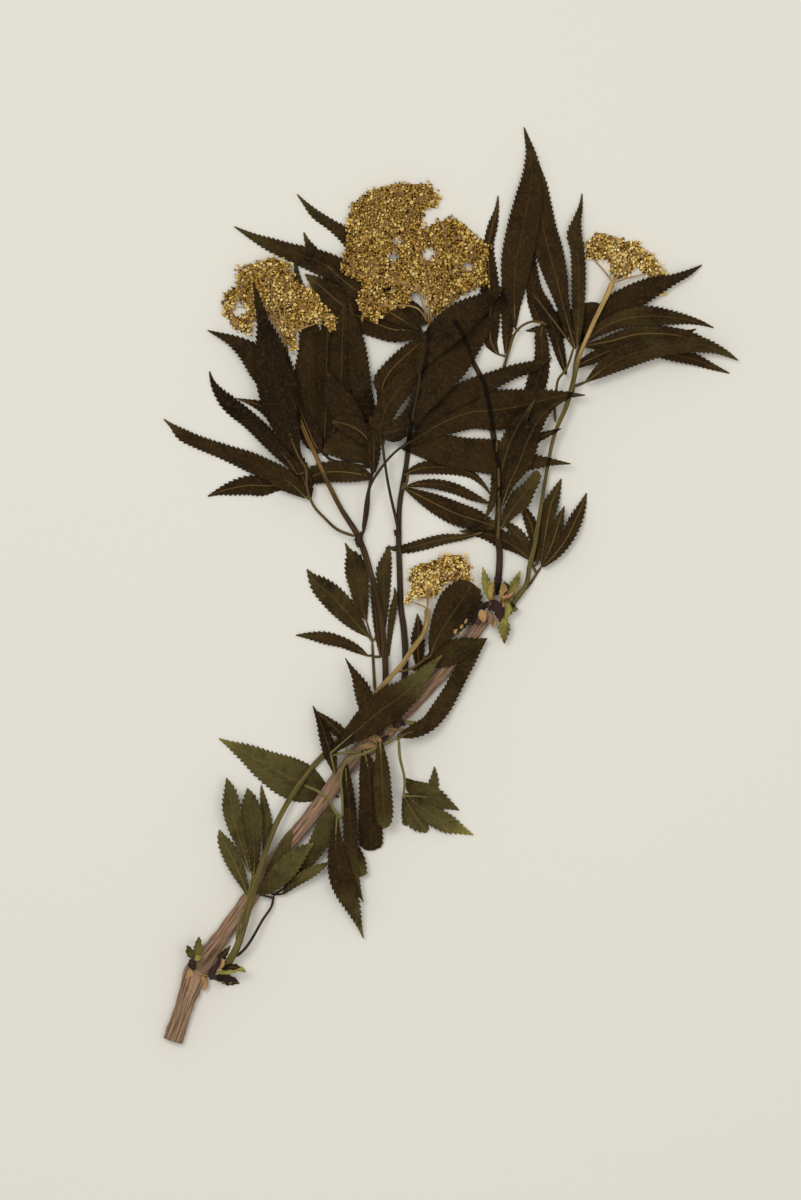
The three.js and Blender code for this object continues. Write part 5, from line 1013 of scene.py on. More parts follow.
# ripples are size and length; a blade's phases, then its tones and its rib, are drawn in this order
def addBlade(build, name, leaflet, slot, tone, draw, tip=0.0, base=0.0):
    look, curve = bladeLook, leaflet["curve"]
    pitch = look["toothPitch"]
    rows = max(look["fewestRows"], int(curve[2][-1] / pitch * look["rowsPerTooth"]))
    s = np.linspace(0, 1, rows)
    flat = np.array(evenPoints(curve, rows - 1))
    points, full = flat[:, :2], flat[:, 2] / 2
    ways = waysAlong(points)
    lefts = np.stack([-ways[:, 1], ways[:, 0]], 1)
    along = np.concatenate([[0], np.cumsum(np.hypot(*np.diff(points, axis=0).T))])
    if leaflet["broken"]:
        end = np.clip((s - look["brokenFrom"]) / look["brokenOver"], 0, 1)
        full = full * (1 - end ** 2 * look["brokenShare"])
    reach = max(2, int(look["smoothing"] / along[-1] * rows))
    height = smoothed(np.interp(s, leaflet["s"], leaflet["z"]), reach)
    columns = look["columns"]
    phases = [draw.uniform(0, 6.28) for k in range(8)]
    offsets, shift, wave = (np.zeros((rows, len(columns))) for k in range(3))
    grow = np.clip((s - 0.05) / 0.1, 0, 1) * np.clip((1.02 - s) / 0.12, 0, 1)
    half = np.maximum(full, np.where(s > 0.5, look["tipHalf"], 0.3))
    for c, u in enumerate(columns):
        offsets[:, c] = u * half
        if abs(u) == 0.1:
            offsets[:, c] = np.sign(u) * np.minimum(look["ribHalf"], 0.3 * half)
        if abs(u) == 1:
            phase = (along / pitch + (0.5 if u > 0 else 0)) % 1
            point = look["toothPoint"]
            saw = np.where(phase < point, phase / point, (1 - phase) / (1 - point))
            size = look["toothDepth"] * np.minimum(1, half / look["fullToothHalf"]) * grow
            offsets[:, c] += u * size * (saw - look["toothMiddle"])
            shift[:, c] = size * look["toothForward"] * saw
        first = 0 if u > 0 else 4
        ripple = sum(size * np.sin(along / length + phases[first + k])
                     for k, (size, length) in enumerate(look["ripples"]))
        wave[:, c] = look["wave"] * abs(u) ** look["wavePower"] * ripple
        wave[:, c] *= np.minimum(1, half / look["waveHalf"])
        veins = along - abs(offsets[:, c]) * leafLook["veinLean"]
        puckered = np.sin(veins * 2 * math.pi / leafLook["veinPitch"])
        wave[:, c] += look["pucker"] * puckered * (1 - u ** 4)
    wave[:, columns.index(0)] += look["ribRise"] * np.clip(full, 0, 1)
    xy = points[:, None, :] + offsets[..., None] * lefts[:, None, :] + shift[..., None] * ways[:, None, :]
    press = stemRidgeAndShadeUnder(name, xy[..., 0], xy[..., 1])
    top = height[:, None] + look["lift"] + look["thickness"] + wave + press * look["pressRise"]
    bottom = np.maximum(top - look["thickness"], lowest)
    top = np.maximum(top, bottom + look["thinnest"])
    upper = np.concatenate([xy, top[..., None]], -1)
    lower = np.concatenate([xy, bottom[..., None]], -1)[:, ::-1]
    rings = np.concatenate([upper, lower], 1)
    across = np.concatenate([offsets, offsets[:, ::-1]], 1)
    tipTone = np.clip((s - 0.8) / 0.2, 0, 1) * draw.uniform(*look["tipVariation"])
    tipTone = tipTone + np.clip((s - 0.5) / 0.3, 0, 1) * tip - np.clip((0.5 - s) / 0.4, 0, 1) * base
    tones = tone + draw.uniform(*look["toneVariation"]) + tipTone
    # the same amount, kept on the mesh for the leaf shader's painted shade
    paintedPressShade = np.concatenate([press, press[:, ::-1]], 1)
    ribs = draw.choice(look["ribShares"]) * (1.1 - s)[:, None] ** 0.6
    build.sleeve(rings, across, along, slot, tone=tones[:, None], press=paintedPressShade, ribbed=ribs)


# small scales, spurs and scars round the nodes: skin, then x, y, width in mm
scraps = {
    "bud_top": [
        ("dark", [(8.6, -15.5, 0.6), (10, -11.5, 2.2), (12, -8.5, 2.4), (14.6, -6.8, 1)]),
        ("purple", [(15.4, -6.4, 1), (17.6, -7.8, 3.4), (18.6, -10.6, 3), (19, -14.2, 0.8)]),
        ("purple", [(14.4, -9.4, 0.6), (16, -9, 1.4), (17.6, -9.6, 1.8), (18, -12.6, 0.5)]),
        ("scale", [(11.8, -9.6, 1.2), (12.6, -11.6, 3.4), (13.2, -14, 1.4)]),
        ("wood", [(14.6, -10.2, 1.4), (15.6, -12.4, 3.2), (15.2, -15, 1.8)]),
        ("scale", [(16.4, -12.2, 0.8), (17, -13.9, 1.9), (16.5, -16.2, 1)]),
        ("purple", [(17, 2.7, 1), (18.3, 1.7, 2.8), (19.9, 1.9, 0.8)]),
        ("purple", [(20.8, 0.6, 0.4), (22.2, -0.6, 0.8), (21.9, -2.4, 0.9), (20.5, -4, 0.5)]),
        ("scale", [(19.6, -4.8, 0.8), (21.6, -4.6, 1.5), (24, -3.2, 0.6)]),
        ("fresh", [(20.4, -6.8, 1), (21.7, -9.4, 3.4), (21.3, -13, 0.7)]),
        ("scale", [(20.2, -6.6, 0.6), (20.3, -9, 1.1), (20.5, -11.4, 0.5)])],
    "bud_base_left": [
        ("purple", [(-97.4, -140.8, 1), (-96.6, -142.8, 3), (-95.6, -144.8, 1.2)]),
        ("fresh", [(-95.4, -141, 1), (-94.2, -140.2, 1.8), (-92.4, -139.7, 0.6)])],
    "bud_base_right": [
        ("purple", [(-84.6, -138.8, 0.8), (-87.2, -143, 2), (-89.4, -145.8, 1.4), (-88, -148, 2.8),
                    (-86, -149.4, 1.4)]),
        ("scale", [(-84.9, -140.2, 0.7), (-85.4, -142.4, 2), (-87, -145, 0.7)]),
        ("fresh", [(-87.2, -145.2, 0.8), (-83, -145.6, 1.4), (-79.4, -144.7, 0.8), (-77.8, -144.5, 1.7),
                   (-76.4, -145.4, 0.6)]),
        ("purple", [(-87, -147, 1.6), (-84, -148.4, 3.2), (-81, -149.1, 1.6), (-79.7, -149.7, 0.4)]),
        ("fresh", [(-86, -149.8, 0.6), (-83.6, -150.1, 1.3), (-82, -150.3, 0.5)])],
    "main_stem": [
        ("scale", [(-97.6, -144.3, 0.8), (-97.4, -146, 2.6), (-99, -148.4, 0.7)]),
        ("ray", [(-96, -144.6, 0.5), (-93.4, -146.6, 0.9), (-90.2, -147.6, 0.7)]),
        ("scale", [(-92.6, -147.4, 0.8), (-92, -150, 2.6), (-92.3, -152.9, 0.8)]),
        ("scale", [(-30.6, -58.2, 0.6), (-28.6, -58, 2), (-26.6, -58.6, 2.4), (-25, -60, 0.8)]),
        ("ray", [(-34, -61.2, 0.8), (-30.5, -60.7, 2.2), (-27, -61.2, 1.4)]),
        ("purple", [(-26.2, -59.2, 0.8), (-24.6, -58.2, 1.7), (-22.6, -56.9, 0.8)]),
        ("purple", [(-21.4, -51.2, 0.6), (-18.6, -52, 2.4), (-16.4, -53, 0.8)]),
        ("ray", [(-23, -54.1, 0.3), (-20, -54.6, 0.7), (-16.8, -55, 1)]),
        ("fresh", [(-16.4, -51.4, 0.5), (-14.5, -52.2, 1.7), (-12.4, -51.6, 0.4)]),
        ("green_stalk", [(-36, -63, 0.7), (-31, -62.9, 0.9), (-27, -61.8, 0.8), (-23, -59.6, 0.8),
                         (-19.6, -57.2, 0.5)])],
    "shoot_left": [("brown_stem", [(-33, 19.6, 1.4), (-34.2, 17, 3.4), (-33.3, 14.2, 2.4)])],
    "shoot_centre_left": [("brown_stem", [(-20.8, 20.4, 0.5), (-19.4, 19, 2.7), (-17.9, 19.6, 0.5)])],
    "leaf_by_small_cluster": [
        ("ray", [(6.6, -13, 0.6), (6.2, -14, 1.1), (5.8, -14.8, 0.5)]),
        ("ray", [(5.2, -15.2, 0.5), (4.6, -16, 1.2), (4.3, -16.9, 0.5)]),
        ("ray", [(3, -16.9, 0.5), (2.3, -17.8, 1.3), (2.3, -18.8, 0.6)]),
        ("ray", [(4.2, -17.8, 0.4), (4.4, -18.7, 1.0), (4.2, -19.5, 0.4)])],
}


scrapLook = {
    "step": 0.45, "rise": 0.25, "layer": 0.1, "layers": 4, "leastHalf": 0.1, "ragged": 0.35,
    "raggedScale": 1.7, "flatHalf": 0.9, "flatShare": 0.55, "sides": 12,
}


# rows of x, y, z, height and half width along a piece, to seat scraps on
def alongLines(lines):
    rows = []
    for line in lines:
        for a, b in zip(line, line[1:]):
            ends = [[st.x, st.y, st.z, st.height, (st.left + st.right) / 2] for st in (a, b)]
            rows.extend(np.linspace(ends[0], ends[1], 9))
    return rows


def addScraps(build, name, rows, skins):
    look, rows = scrapLook, np.array(rows)
    for number, (skin, points) in enumerate(scraps.get(name, [])):
        if skin not in skins:
            skins.append(skin)
        curve = curveThrough(points)
        flat = np.array(evenPoints(curve, max(6, int(curve[2][-1] / look["step"]))))
        zs = []
        for x, y in flat[:, :2]:
            near = np.hypot(rows[:, 0] - x, rows[:, 1] - y)
            k = np.argmin(near - rows[:, 4])
            bulge = math.sqrt(max(0.0, 1 - (near[k] / rows[k, 4]) ** 2))
            rise = look["rise"] + look["layer"] * (number % look["layers"])
            zs.append(rows[k, 2] + rows[k, 3] / 2 * (1 + bulge) + rise)
        half = np.maximum(flat[:, 2] / 2, look["leastHalf"])
        scale = look["raggedScale"]
        uneven = np.array([noise.noise(Vector((x * scale, y * scale, number))) for x, y in flat[:, :2]])
        seat = np.column_stack([flat[:, :2], smoothed(np.array(zs), 3)])
        addTube(build, seat, half * (1 + look["ragged"] * uneven),
                np.minimum(half, look["flatHalf"]) * look["flatShare"], look["sides"], skins.index(skin),
                0.08, 0.5, seed=number * 3.7)


def lineHeights(line, count):
    zs = [station.z + station.height / 2 for station in line]
    return smoothed(np.interp(np.linspace(0, 1, count + 1), np.linspace(0, 1, len(zs)), zs), 3)


# a leaf's stalk tapers to its tip, and a leaflet's stalk runs thinner along the start of its blade
stalkLook = {
    "step": 1.0, "halfShare": 0.75, "tall": 0.85, "taper": 0.25, "sides": 12, "ridges": 0.03,
    "endShare": 0.35, "leafletStep": 0.8, "leafletSides": 8, "leafletHalf": 0.46, "leafletTall": 0.36,
    "halfLess": 0.24, "tallLess": 0.2, "lift": 0.3, "bladeLift": 0.35, "along": (0.0, 0.05, 0.12, 0.2),
    "bladeRows": 30, "bladeHeight": 0.5, "bladeHalf": 0.3,
}
stemLook = {
    "step": 0.9, "pressShadeShare": 0.55, "endShare": 0.5, "woodEnd": 0.97,
    "wood": {"sides": 40, "ridges": 0.02, "rough": 0.12},
    "shoot": {"sides": 20, "ridges": 0.035, "rough": 0.05},
}


# share of the full width near both ends of a line
def rounded(count, endShare):
    rows = np.arange(count + 1)
    return np.clip(np.minimum(rows, count - rows) / 2 + endShare, 0, 1)


def dress(build, name, slot, skins):
    made = build.finish("fine_" + name, [materials[skin] for skin in skins])
    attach(made, "root")
    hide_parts(name)


def buildLeaf(name):
    spec, kept, look = leaves[name], laid[name], stalkLook
    draw = random.Random(name)
    build = MeshBuilder()
    for curve, line in zip(kept["curves"], kept["lines"]):
        count = max(6, int(curve[2][-1] / look["step"]))
        flat = np.array(evenPoints(curve, count))
        points = np.column_stack([flat[:, :2], lineHeights(line, count)])
        half = kept["stalkWidth"] / 2 * look["halfShare"]
        taper = 1 - look["taper"] * np.linspace(0, 1, count + 1)
        ends = rounded(count, look["endShare"])
        addTube(build, points, half * taper * ends, half * look["tall"] * taper * ends, look["sides"], 1,
                look["ridges"], seed=draw.random() * 9)
    for number, leaflet in enumerate(kept["leaflets"]):
        tone = spec.get("tones", {}).get(number, spec["tone"])
        tip = spec.get("tips", {}).get(number, 0.0)
        addBlade(build, name, leaflet, 0, tone, draw, tip, spec.get("dim", 0.0))
        stalk = [(st.x, st.y, st.z + look["lift"]) for st in leaflet["stalk"]]
        ahead = [(*pointAlong(leaflet["curve"], s)[:2],
                  np.interp(s, leaflet["s"], leaflet["z"]) + look["bladeLift"]) for s in look["along"]]
        line = curveThrough(stalk + ahead)
        count = max(6, int(line[2][-1] / look["leafletStep"]))
        points = np.array(evenPoints(line, count))
        reach = np.linspace(0, 1, count + 1)
        addTube(build, points, look["leafletHalf"] - look["halfLess"] * reach,
                look["leafletTall"] - look["tallLess"] * reach, look["leafletSides"], 1, look["ridges"],
                seed=draw.random() * 9)
    stalkSkin = spec["slot"] if spec["slot"].endswith("buds") else spec.get("stalkSkin", "stalk")
    skins = ["leaf", stalkSkin]
    rows = alongLines(kept["lines"])
    for leaflet in kept["leaflets"]:
        for k, (x, y, width) in enumerate(evenPoints(leaflet["curve"], look["bladeRows"])):
            z = np.interp(k / look["bladeRows"], leaflet["s"], leaflet["z"])
            rows.append([x, y, z, look["bladeHeight"], max(look["bladeHalf"], width / 2)])
    addScraps(build, name, rows, skins)
    dress(build, name, spec["slot"], skins)


def buildStem(name):
    spec, kept = stems[name], laid[name]
    curve, line = kept["curve"], kept["line"]
    count = int(curve[2][-1] / stemLook["step"])
    flat = np.array(evenPoints(curve, count))
    points = np.column_stack([flat[:, :2], lineHeights(line, count)])
    stemPaths[name] = np.column_stack([flat[:, :2], flat[:, 2] / 2 * stemLook["pressShadeShare"]])
    woody = name == "main_stem"
    look = stemLook["wood" if woody else "shoot"]
    ends = rounded(count, stemLook["endShare"])
    half = flat[:, 2] / 2 * (np.maximum(ends, stemLook["woodEnd"]) if woody else ends) * spec.get("slim", 1.0)
    low, high, amount = spec.get("turn", (0, 1, 0.0))
    tone = np.clip((flat[:, 1] - low) / (high - low), 0, 1)[:, None] * amount
    build = MeshBuilder()
    addTube(build, points, half, half * laying["pressed"], look["sides"], 0, look["ridges"], look["rough"],
            seed=len(name), tone=tone)
    skins = [spec["slot"]]
    addScraps(build, name, alongLines([line]), skins)
    dress(build, name, spec["slot"], skins)


for name in stems:
    buildStem(name)
print("stems built")
for name in leaves:
    buildLeaf(name)
print("leaves built")


# ---- flower heads: a low felt of stalks with painted shade in its pits, with dried flowers and buds scattered over it; the lower flowers are painted darker as shade under the upper ones
floretLook = {
    "petalLength": 0.85, "petalWidth": 0.6, "heart": 0.3, "stalkLength": 0.9, "carrierStep": 1.0,
    "coreInset": 0.5, "coreHeight": 1.1,
    "upper": {"spacing": 0.86, "seed": 3, "lift": (1.4, 2.6), "scale": (0.75, 1.25), "tilt": 0.8},
    "lower": {"spacing": 1.1, "seed": 11, "lift": (0.7, 1.5), "scale": (0.8, 1.3), "tilt": 1.0},
    # the lower florets are tinted darker by these amounts, painted shade under the upper ones
    "lowerPaintedShade": (0.2, 0.35), "density": 1.6e6, "floor": 0.05,
    "tints": {"flower_head_large": (0.08, 0.92), "flower_head_left": (0.2, 1.08),
              "flower_head_right": (0.5, 1.3), "flower_head_small": (0.5, 1.3)},
    # each floret's curl, petals and bud size
    "kinds": ((0.15, 5, 0), (0.6, 5, 0), (1.05, 5, 0), (0, 0, 0.55), (0, 0, 0.42), (0.9, 3, 0.3)),
    "widest": 0.62, "petalThick": 0.14, "stalkHalf": 0.13,
    "edge": 0.5, "crowd": 0.82, "crowdSwing": 1.5, "crowdScale": 0.35, "fewest": 0.15, "gapShare": 0.95,
    "spread": 0.6, "spreadPower": 3, "coreRim": 0.35, "coreLump": 0.7, "coreLeast": 0.25, "coreJitter": 0.5,
}


# flat lozenge or knob: a ring with a point above and one below
def addKnob(points, faces, parts, part, ring, top, bottom):
    start = len(points)
    points.extend(ring + [top, bottom])
    parts.extend([part] * (len(ring) + 2))
    for k in range(len(ring)):
        following = (k + 1) % len(ring)
        faces.append((start + k, start + following, start + len(ring)))
        faces.append((start + following, start + k, start + len(ring) + 1))


def floretObject(name, curl, petals, budSize):
    points, faces, parts = [], [], []
    length, width = floretLook["petalLength"], floretLook["petalWidth"]
    for k in range(petals):
        angle = k * 2 * math.pi / petals
        lean = curl + 0.35 * math.sin(k * 2.3)
        ca, sa = math.cos(angle), math.sin(angle)

        def place(r, side, up):
            out = r * math.cos(lean) - up * math.sin(lean)
            high = r * math.sin(lean) + up * math.cos(lean)
            return Vector((out * ca - side * sa, out * sa + side * ca, high))
        wide, middle = length * floretLook["widest"], length * 0.55
        ring = [place(0.1, 0, 0), place(wide, -width / 2, 0.08), place(length, 0, 0.12),
                place(wide, width / 2, 0.08)]
        below = place(middle, 0, -floretLook["petalThick"])
        addKnob(points, faces, parts, 0.0, ring, place(middle, 0, 0.02), below)
    size = budSize or floretLook["heart"]
    ring = [Vector((size * math.cos(a), size * math.sin(a), size * 0.2)) for a in np.arange(6) * math.pi / 3]
    top, bottom = Vector((0, 0, size * 1.1)), Vector((0, 0, -size * 0.8))
    addKnob(points, faces, parts, 0.0 if budSize else 0.5, ring, top, bottom)
    thin = floretLook["stalkHalf"]
    stalk = [Vector((thin * math.cos(a), thin * math.sin(a), -0.2)) for a in np.arange(3) * 2 * math.pi / 3]
    foot = Vector((0.2, 0, -floretLook["stalkLength"]))
    addKnob(points, faces, parts, 1.0, stalk, Vector((0, 0, 0.1)), foot)
    mesh = bpy.data.meshes.new(name)
    mesh.from_pydata([p * mm for p in points], [], faces)
    markPoints(mesh, "part", parts)
    return bpy.data.objects.new(name, mesh)


florets = bpy.data.collections.new("florets")
for k, (curl, petals, budSize) in enumerate(floretLook["kinds"]):
    florets.objects.link(floretObject(f"floret{k}", curl, petals, budSize))


def span(outline, axis):
    return min(point[axis] for point in outline), max(point[axis] for point in outline)


def nearOutline(outline, x, y):
    best = 1e9
    for (ax, ay), (bx, by) in zip(outline, outline[1:] + outline[:1]):
        share = ((x - ax) * (bx - ax) + (y - ay) * (by - ay)) / ((bx - ax) ** 2 + (by - ay) ** 2)
        share = min(1, max(0, share))
        best = min(best, math.hypot(x - ax - share * (bx - ax), y - ay - share * (by - ay)))
    return best


# height of the head's underside anywhere, from the lifts at its cells' corners
def headHeights(name, xs, ys):
    kept, pitch = laid[name], laying["headPitch"]
    known = np.array([(kept["low"][0] + i * pitch, kept["low"][1] + j * pitch) for i, j in kept["lifts"]])
    values = np.array(list(kept["lifts"].values()))
    near = np.hypot(np.asarray(xs)[:, None] - known[:, 0], np.asarray(ys)[:, None] - known[:, 1])
    share = 1 / (near + floretLook["spread"]) ** floretLook["spreadPower"]
    return (share * values).sum(1) / share.sum(1)


# square cells inside the outline, wider or narrower by the reach, leaving its gaps open
def headCells(name, reach, step):
    outline, gaps = heads[name]["outline"], heads[name]["gaps"]
    lowX, lowY = laid[name]["low"]
    cells = set()
    for i in range(-3, int((max(x for x, y in outline) - lowX) / step) + 4):
        for j in range(-3, int((max(y for x, y in outline) - lowY) / step) + 4):
            x, y = lowX + (i + 0.5) * step, lowY + (j + 0.5) * step
            inside, near = isInside(outline, x, y), nearOutline(outline, x, y)
            inGap = any(math.hypot(x - gx, y - gy) < r * floretLook["gapShare"] - reach for gx, gy, r in gaps)
            if not inGap and ((inside and near > -reach) or (not inside and near < reach)):
                cells.add((i, j))
    corners = sorted({(i + a, j + b) for i, j in cells for a in (0, 1) for b in (0, 1)})
    xy = np.array([(lowX + i * step, lowY + j * step) for i, j in corners])
    return sorted(cells), corners, xy, headHeights(name, xy[:, 0], xy[:, 1])


# corners of a cell, and for each of its edges which two corners it joins and the cell beyond
loop = ((0, 0), (1, 0), (1, 1), (0, 1))
edges = ((0, 1, 0, -1), (1, 2, 1, 0), (2, 3, 0, 1), (3, 0, -1, 0))


# thin surface that the florets are scattered on
def carrierFor(name):
    outline = heads[name]["outline"]
    cells, corners, xy, zs = headCells(name, floretLook["edge"], floretLook["carrierStep"])
    index = {corner: k for k, corner in enumerate(corners)}
    mesh = bpy.data.meshes.new(name + "_carrier")
    points = (np.column_stack([xy, zs]) + placeShift) * mm
    mesh.from_pydata(points.tolist(), [], [[index[i + a, j + b] for a, b in loop] for i, j in cells])
    crowd = []
    for x, y in xy:
        edge = nearOutline(outline, x, y) * (1 if isInside(outline, x, y) else -1)
        clump = noise.noise(Vector((x, y, 7)) * floretLook["crowdScale"])
        dense = min(1, max(0, floretLook["crowd"] + floretLook["crowdSwing"] * clump))
        crowd.append(dense * min(1, max(floretLook["fewest"], 0.5 + edge * 0.5)))
    markPoints(mesh, "crowd", crowd)
    return mesh


# closed lumpy felt under the flowers: the stalks beneath, and a dark sheet standing in for the shade between
# the florets
def coreFor(name):
    step = floretLook["carrierStep"]
    cells, corners, xy, zs = headCells(name, -floretLook["coreInset"], step)
    index = {corner: k for k, corner in enumerate(corners)}
    count, taken = len(corners), set(cells)
    rim = np.array([sum((i - a, j - b) in taken for a in (0, 1) for b in (0, 1)) < 4 for i, j in corners])
    lump = np.array([noise.noise(Vector((x, y, 2)) * 0.7) + 0.6 * noise.noise(Vector((x, y, 5)) * 1.7)
                     for x, y in xy])
    top = zs + floretLook["coreHeight"] * np.where(rim, floretLook["coreRim"], 1.0)
    top = np.maximum(top + lump * floretLook["coreLump"], zs + floretLook["coreLeast"])
    jitter = np.array([(noise.noise(Vector((x, y, 1))), noise.noise(Vector((x, y, 9)))) for x, y in xy])
    jitter = jitter * floretLook["coreJitter"]
    points = np.concatenate([np.column_stack([xy + jitter, top]), np.column_stack([xy + jitter, zs])])
    faces = []
    for i, j in cells:
        upper = [index[i + a, j + b] for a, b in loop]
        faces.append(upper)
        faces.append([k + count for k in upper[::-1]])
        for a, b, di, dj in edges:
            if (i + di, j + dj) not in taken:
                faces.append([upper[a], upper[a] + count, upper[b] + count, upper[b]])
    mesh = bpy.data.meshes.new(name + "_core")
    mesh.from_pydata(((points + placeShift) * mm).tolist(), [], faces)
    markPoints(mesh, "part", [1.0] * len(points))
    markPoints(mesh, "tint", [0.0] * len(points))
    mesh.materials.append(materials["feltAndShade"])
    return mesh


# pale stalks seen between the flowers: the first ones given, from the shoot's end, the rest grow from those
rayLook = {
    "halfWidth": 0.4, "thinHalf": 0.23, "taper": 0.6, "lift": 2.0, "unevenness": 1.8, "unevenScale": 0.3,
    "step": 0.9, "inward": 0.9, "bend": 0.2, "rootBlend": 7, "tall": 0.8, "sides": 6, "ridges": 0.04,
    "firstPoints": 14, "grownPoints": 8,
    "flower_head_large": {"shoot": "shoot_centre_left", "count": 70, "main": [
        [(-10, 102), (-14, 104.5), (-25, 104.5)], [(-12, 112), (-16, 124), (-25, 132)],
        [(-8, 110), (-10.5, 123), (-16, 133)],
        [(-5, 106), (0, 117), (8, 122)], [(-4, 101), (1, 105.5)], [(-9, 108), (-20, 114), (-30, 117)]]},
    "flower_head_left": {"shoot": "shoot_left", "count": 40, "main": [
        [(-60, 94), (-56, 96), (-50, 98)], [(-63, 96), (-66, 102), (-67, 110)],
        [(-61.6, 97), (-62, 105), (-60, 114)],
        [(-64, 103), (-67, 113), (-69.5, 119)], [(-66, 98), (-73, 100), (-76, 104), (-81, 108)]]},
    "flower_head_right": {"shoot": "shoot_right", "count": 26, "main": [
        [(58, 118.5), (54, 123)], [(62, 119), (60.5, 125)], [(65, 118), (68, 123)],
        [(68, 115.5), (74, 117)]]},
    "flower_head_small": {"shoot": "shoot_small", "count": 20, "main": [
        [(-8.5, -4), (-9, 1), (-11, 5)], [(-10.5, -8), (-13, -7), (-15.5, -6.5)],
        [(-7.5, -4), (-4, 1), (3, 5)]]},
}


def raysFor(name):
    look, outline, draw = rayLook[name], heads[name]["outline"], random.Random(name)
    rootX, rootY = stems[look["shoot"]]["points"][-1][:2]
    base = laid[look["shoot"]]["line"][-1]
    lines = [[(rootX, rootY)] + line for line in look["main"]]
    grown = [point for line in lines for point in evenPoints(curveThrough(line), rayLook["firstPoints"])]
    while len(lines) < look["count"]:
        x, y = draw.uniform(*span(outline, 0)), draw.uniform(*span(outline, 1))
        if not isInside(outline, x, y):
            continue
        reach = math.hypot(x - rootX, y - rootY) * rayLook["inward"]
        near = [point for point in grown if math.hypot(point[0] - rootX, point[1] - rootY) < reach]
        fromX, fromY = min(near, key=lambda point: math.hypot(point[0] - x, point[1] - y))
        bend = draw.uniform(-rayLook["bend"], rayLook["bend"])
        middle = ((fromX + x) / 2 + bend * (y - fromY), (fromY + y) / 2 - bend * (x - fromX))
        lines.append([(fromX, fromY), middle, (x, y)])
        grown.extend(evenPoints(curveThrough(lines[-1]), rayLook["grownPoints"]))
    build = MeshBuilder()
    for number, line in enumerate(lines):
        curve = curveThrough(line)
        count = max(4, int(curve[2][-1] / rayLook["step"]))
        xy = np.array(evenPoints(curve, count))
        uneven = np.array([noise.noise(Vector((x, y, number)) * rayLook["unevenScale"]) for x, y in xy])
        zs = headHeights(name, xy[:, 0], xy[:, 1]) + rayLook["lift"] + rayLook["unevenness"] * uneven
        share = np.clip(np.hypot(xy[:, 0] - rootX, xy[:, 1] - rootY) / rayLook["rootBlend"], 0, 1)
        zs = zs * share + (base.z + base.height / 2) * (1 - share)
        half = rayLook["halfWidth" if number < len(look["main"]) else "thinHalf"]
        half = half * np.linspace(1, rayLook["taper"], count + 1)
        addTube(build, np.column_stack([xy, zs]), half, half * rayLook["tall"], rayLook["sides"], 0,
                rayLook["ridges"], seed=number)
    made = build.finish(name + "_rays", [materials["ray"]])
    mesh = made.data
    bpy.data.objects.remove(made)
    return mesh


# node tree: points scattered on the carrier, a floret on each, real geometry at the end
treeInputs = {
    "Florets": "Collection", "Spacing": "Float", "Density": "Float", "Seed": "Int", "Lift Low": "Float",
    "Lift High": "Float", "Scale Low": "Float", "Scale High": "Float", "Tilt": "Float", "Tint Low": "Float",
    "Tint High": "Float", "Material": "Material",
}


class TreeMaker:
    def __init__(self, name):
        self.tree = bpy.data.node_groups.new(name, "GeometryNodeTree")
        face = self.tree.interface
        face.new_socket("Geometry", in_out="INPUT", socket_type="NodeSocketGeometry")
        for label, kind in treeInputs.items():
            face.new_socket(label, in_out="INPUT", socket_type="NodeSocket" + kind)
        face.new_socket("Geometry", in_out="OUTPUT", socket_type="NodeSocketGeometry")
        self.given = self.tree.nodes.new("NodeGroupInput").outputs
        self.stop = self.tree.nodes.new("NodeGroupOutput")

    def feed(self, socket, value):
        if isinstance(value, bpy.types.NodeSocket):
            self.tree.links.new(value, socket)
        else:
            socket.default_value = value

    # first output of a new node; values are by input name, or in order for a math node
    def add(self, kind, settings=None, numbered=(), **values):
        made = self.tree.nodes.new(kind)
        for key, value in (settings or {}).items():
            setattr(made, key, value)
        for k, value in enumerate(numbered):
            self.feed(made.inputs[k], value)
        for key, value in values.items():
            self.feed(made.inputs[key.replace("_", " ")], value)
        return made.outputs[0]

    def draw(self, kind, low, high, shift):
        numbered = (self.given["Seed"], float(shift))
        seed = self.add("ShaderNodeMath", {"operation": "ADD"}, numbered)
        made = self.tree.nodes.new("FunctionNodeRandomValue")
        made.data_type = kind
        limits = [socket for socket in made.inputs if socket.enabled and socket.name not in ("ID", "Seed")]
        for socket, value in zip(limits, (low, high)):
            self.feed(socket, value)
        self.feed(next(socket for socket in made.inputs if socket.name == "Seed"), seed)
        return next(socket for socket in made.outputs if socket.enabled)


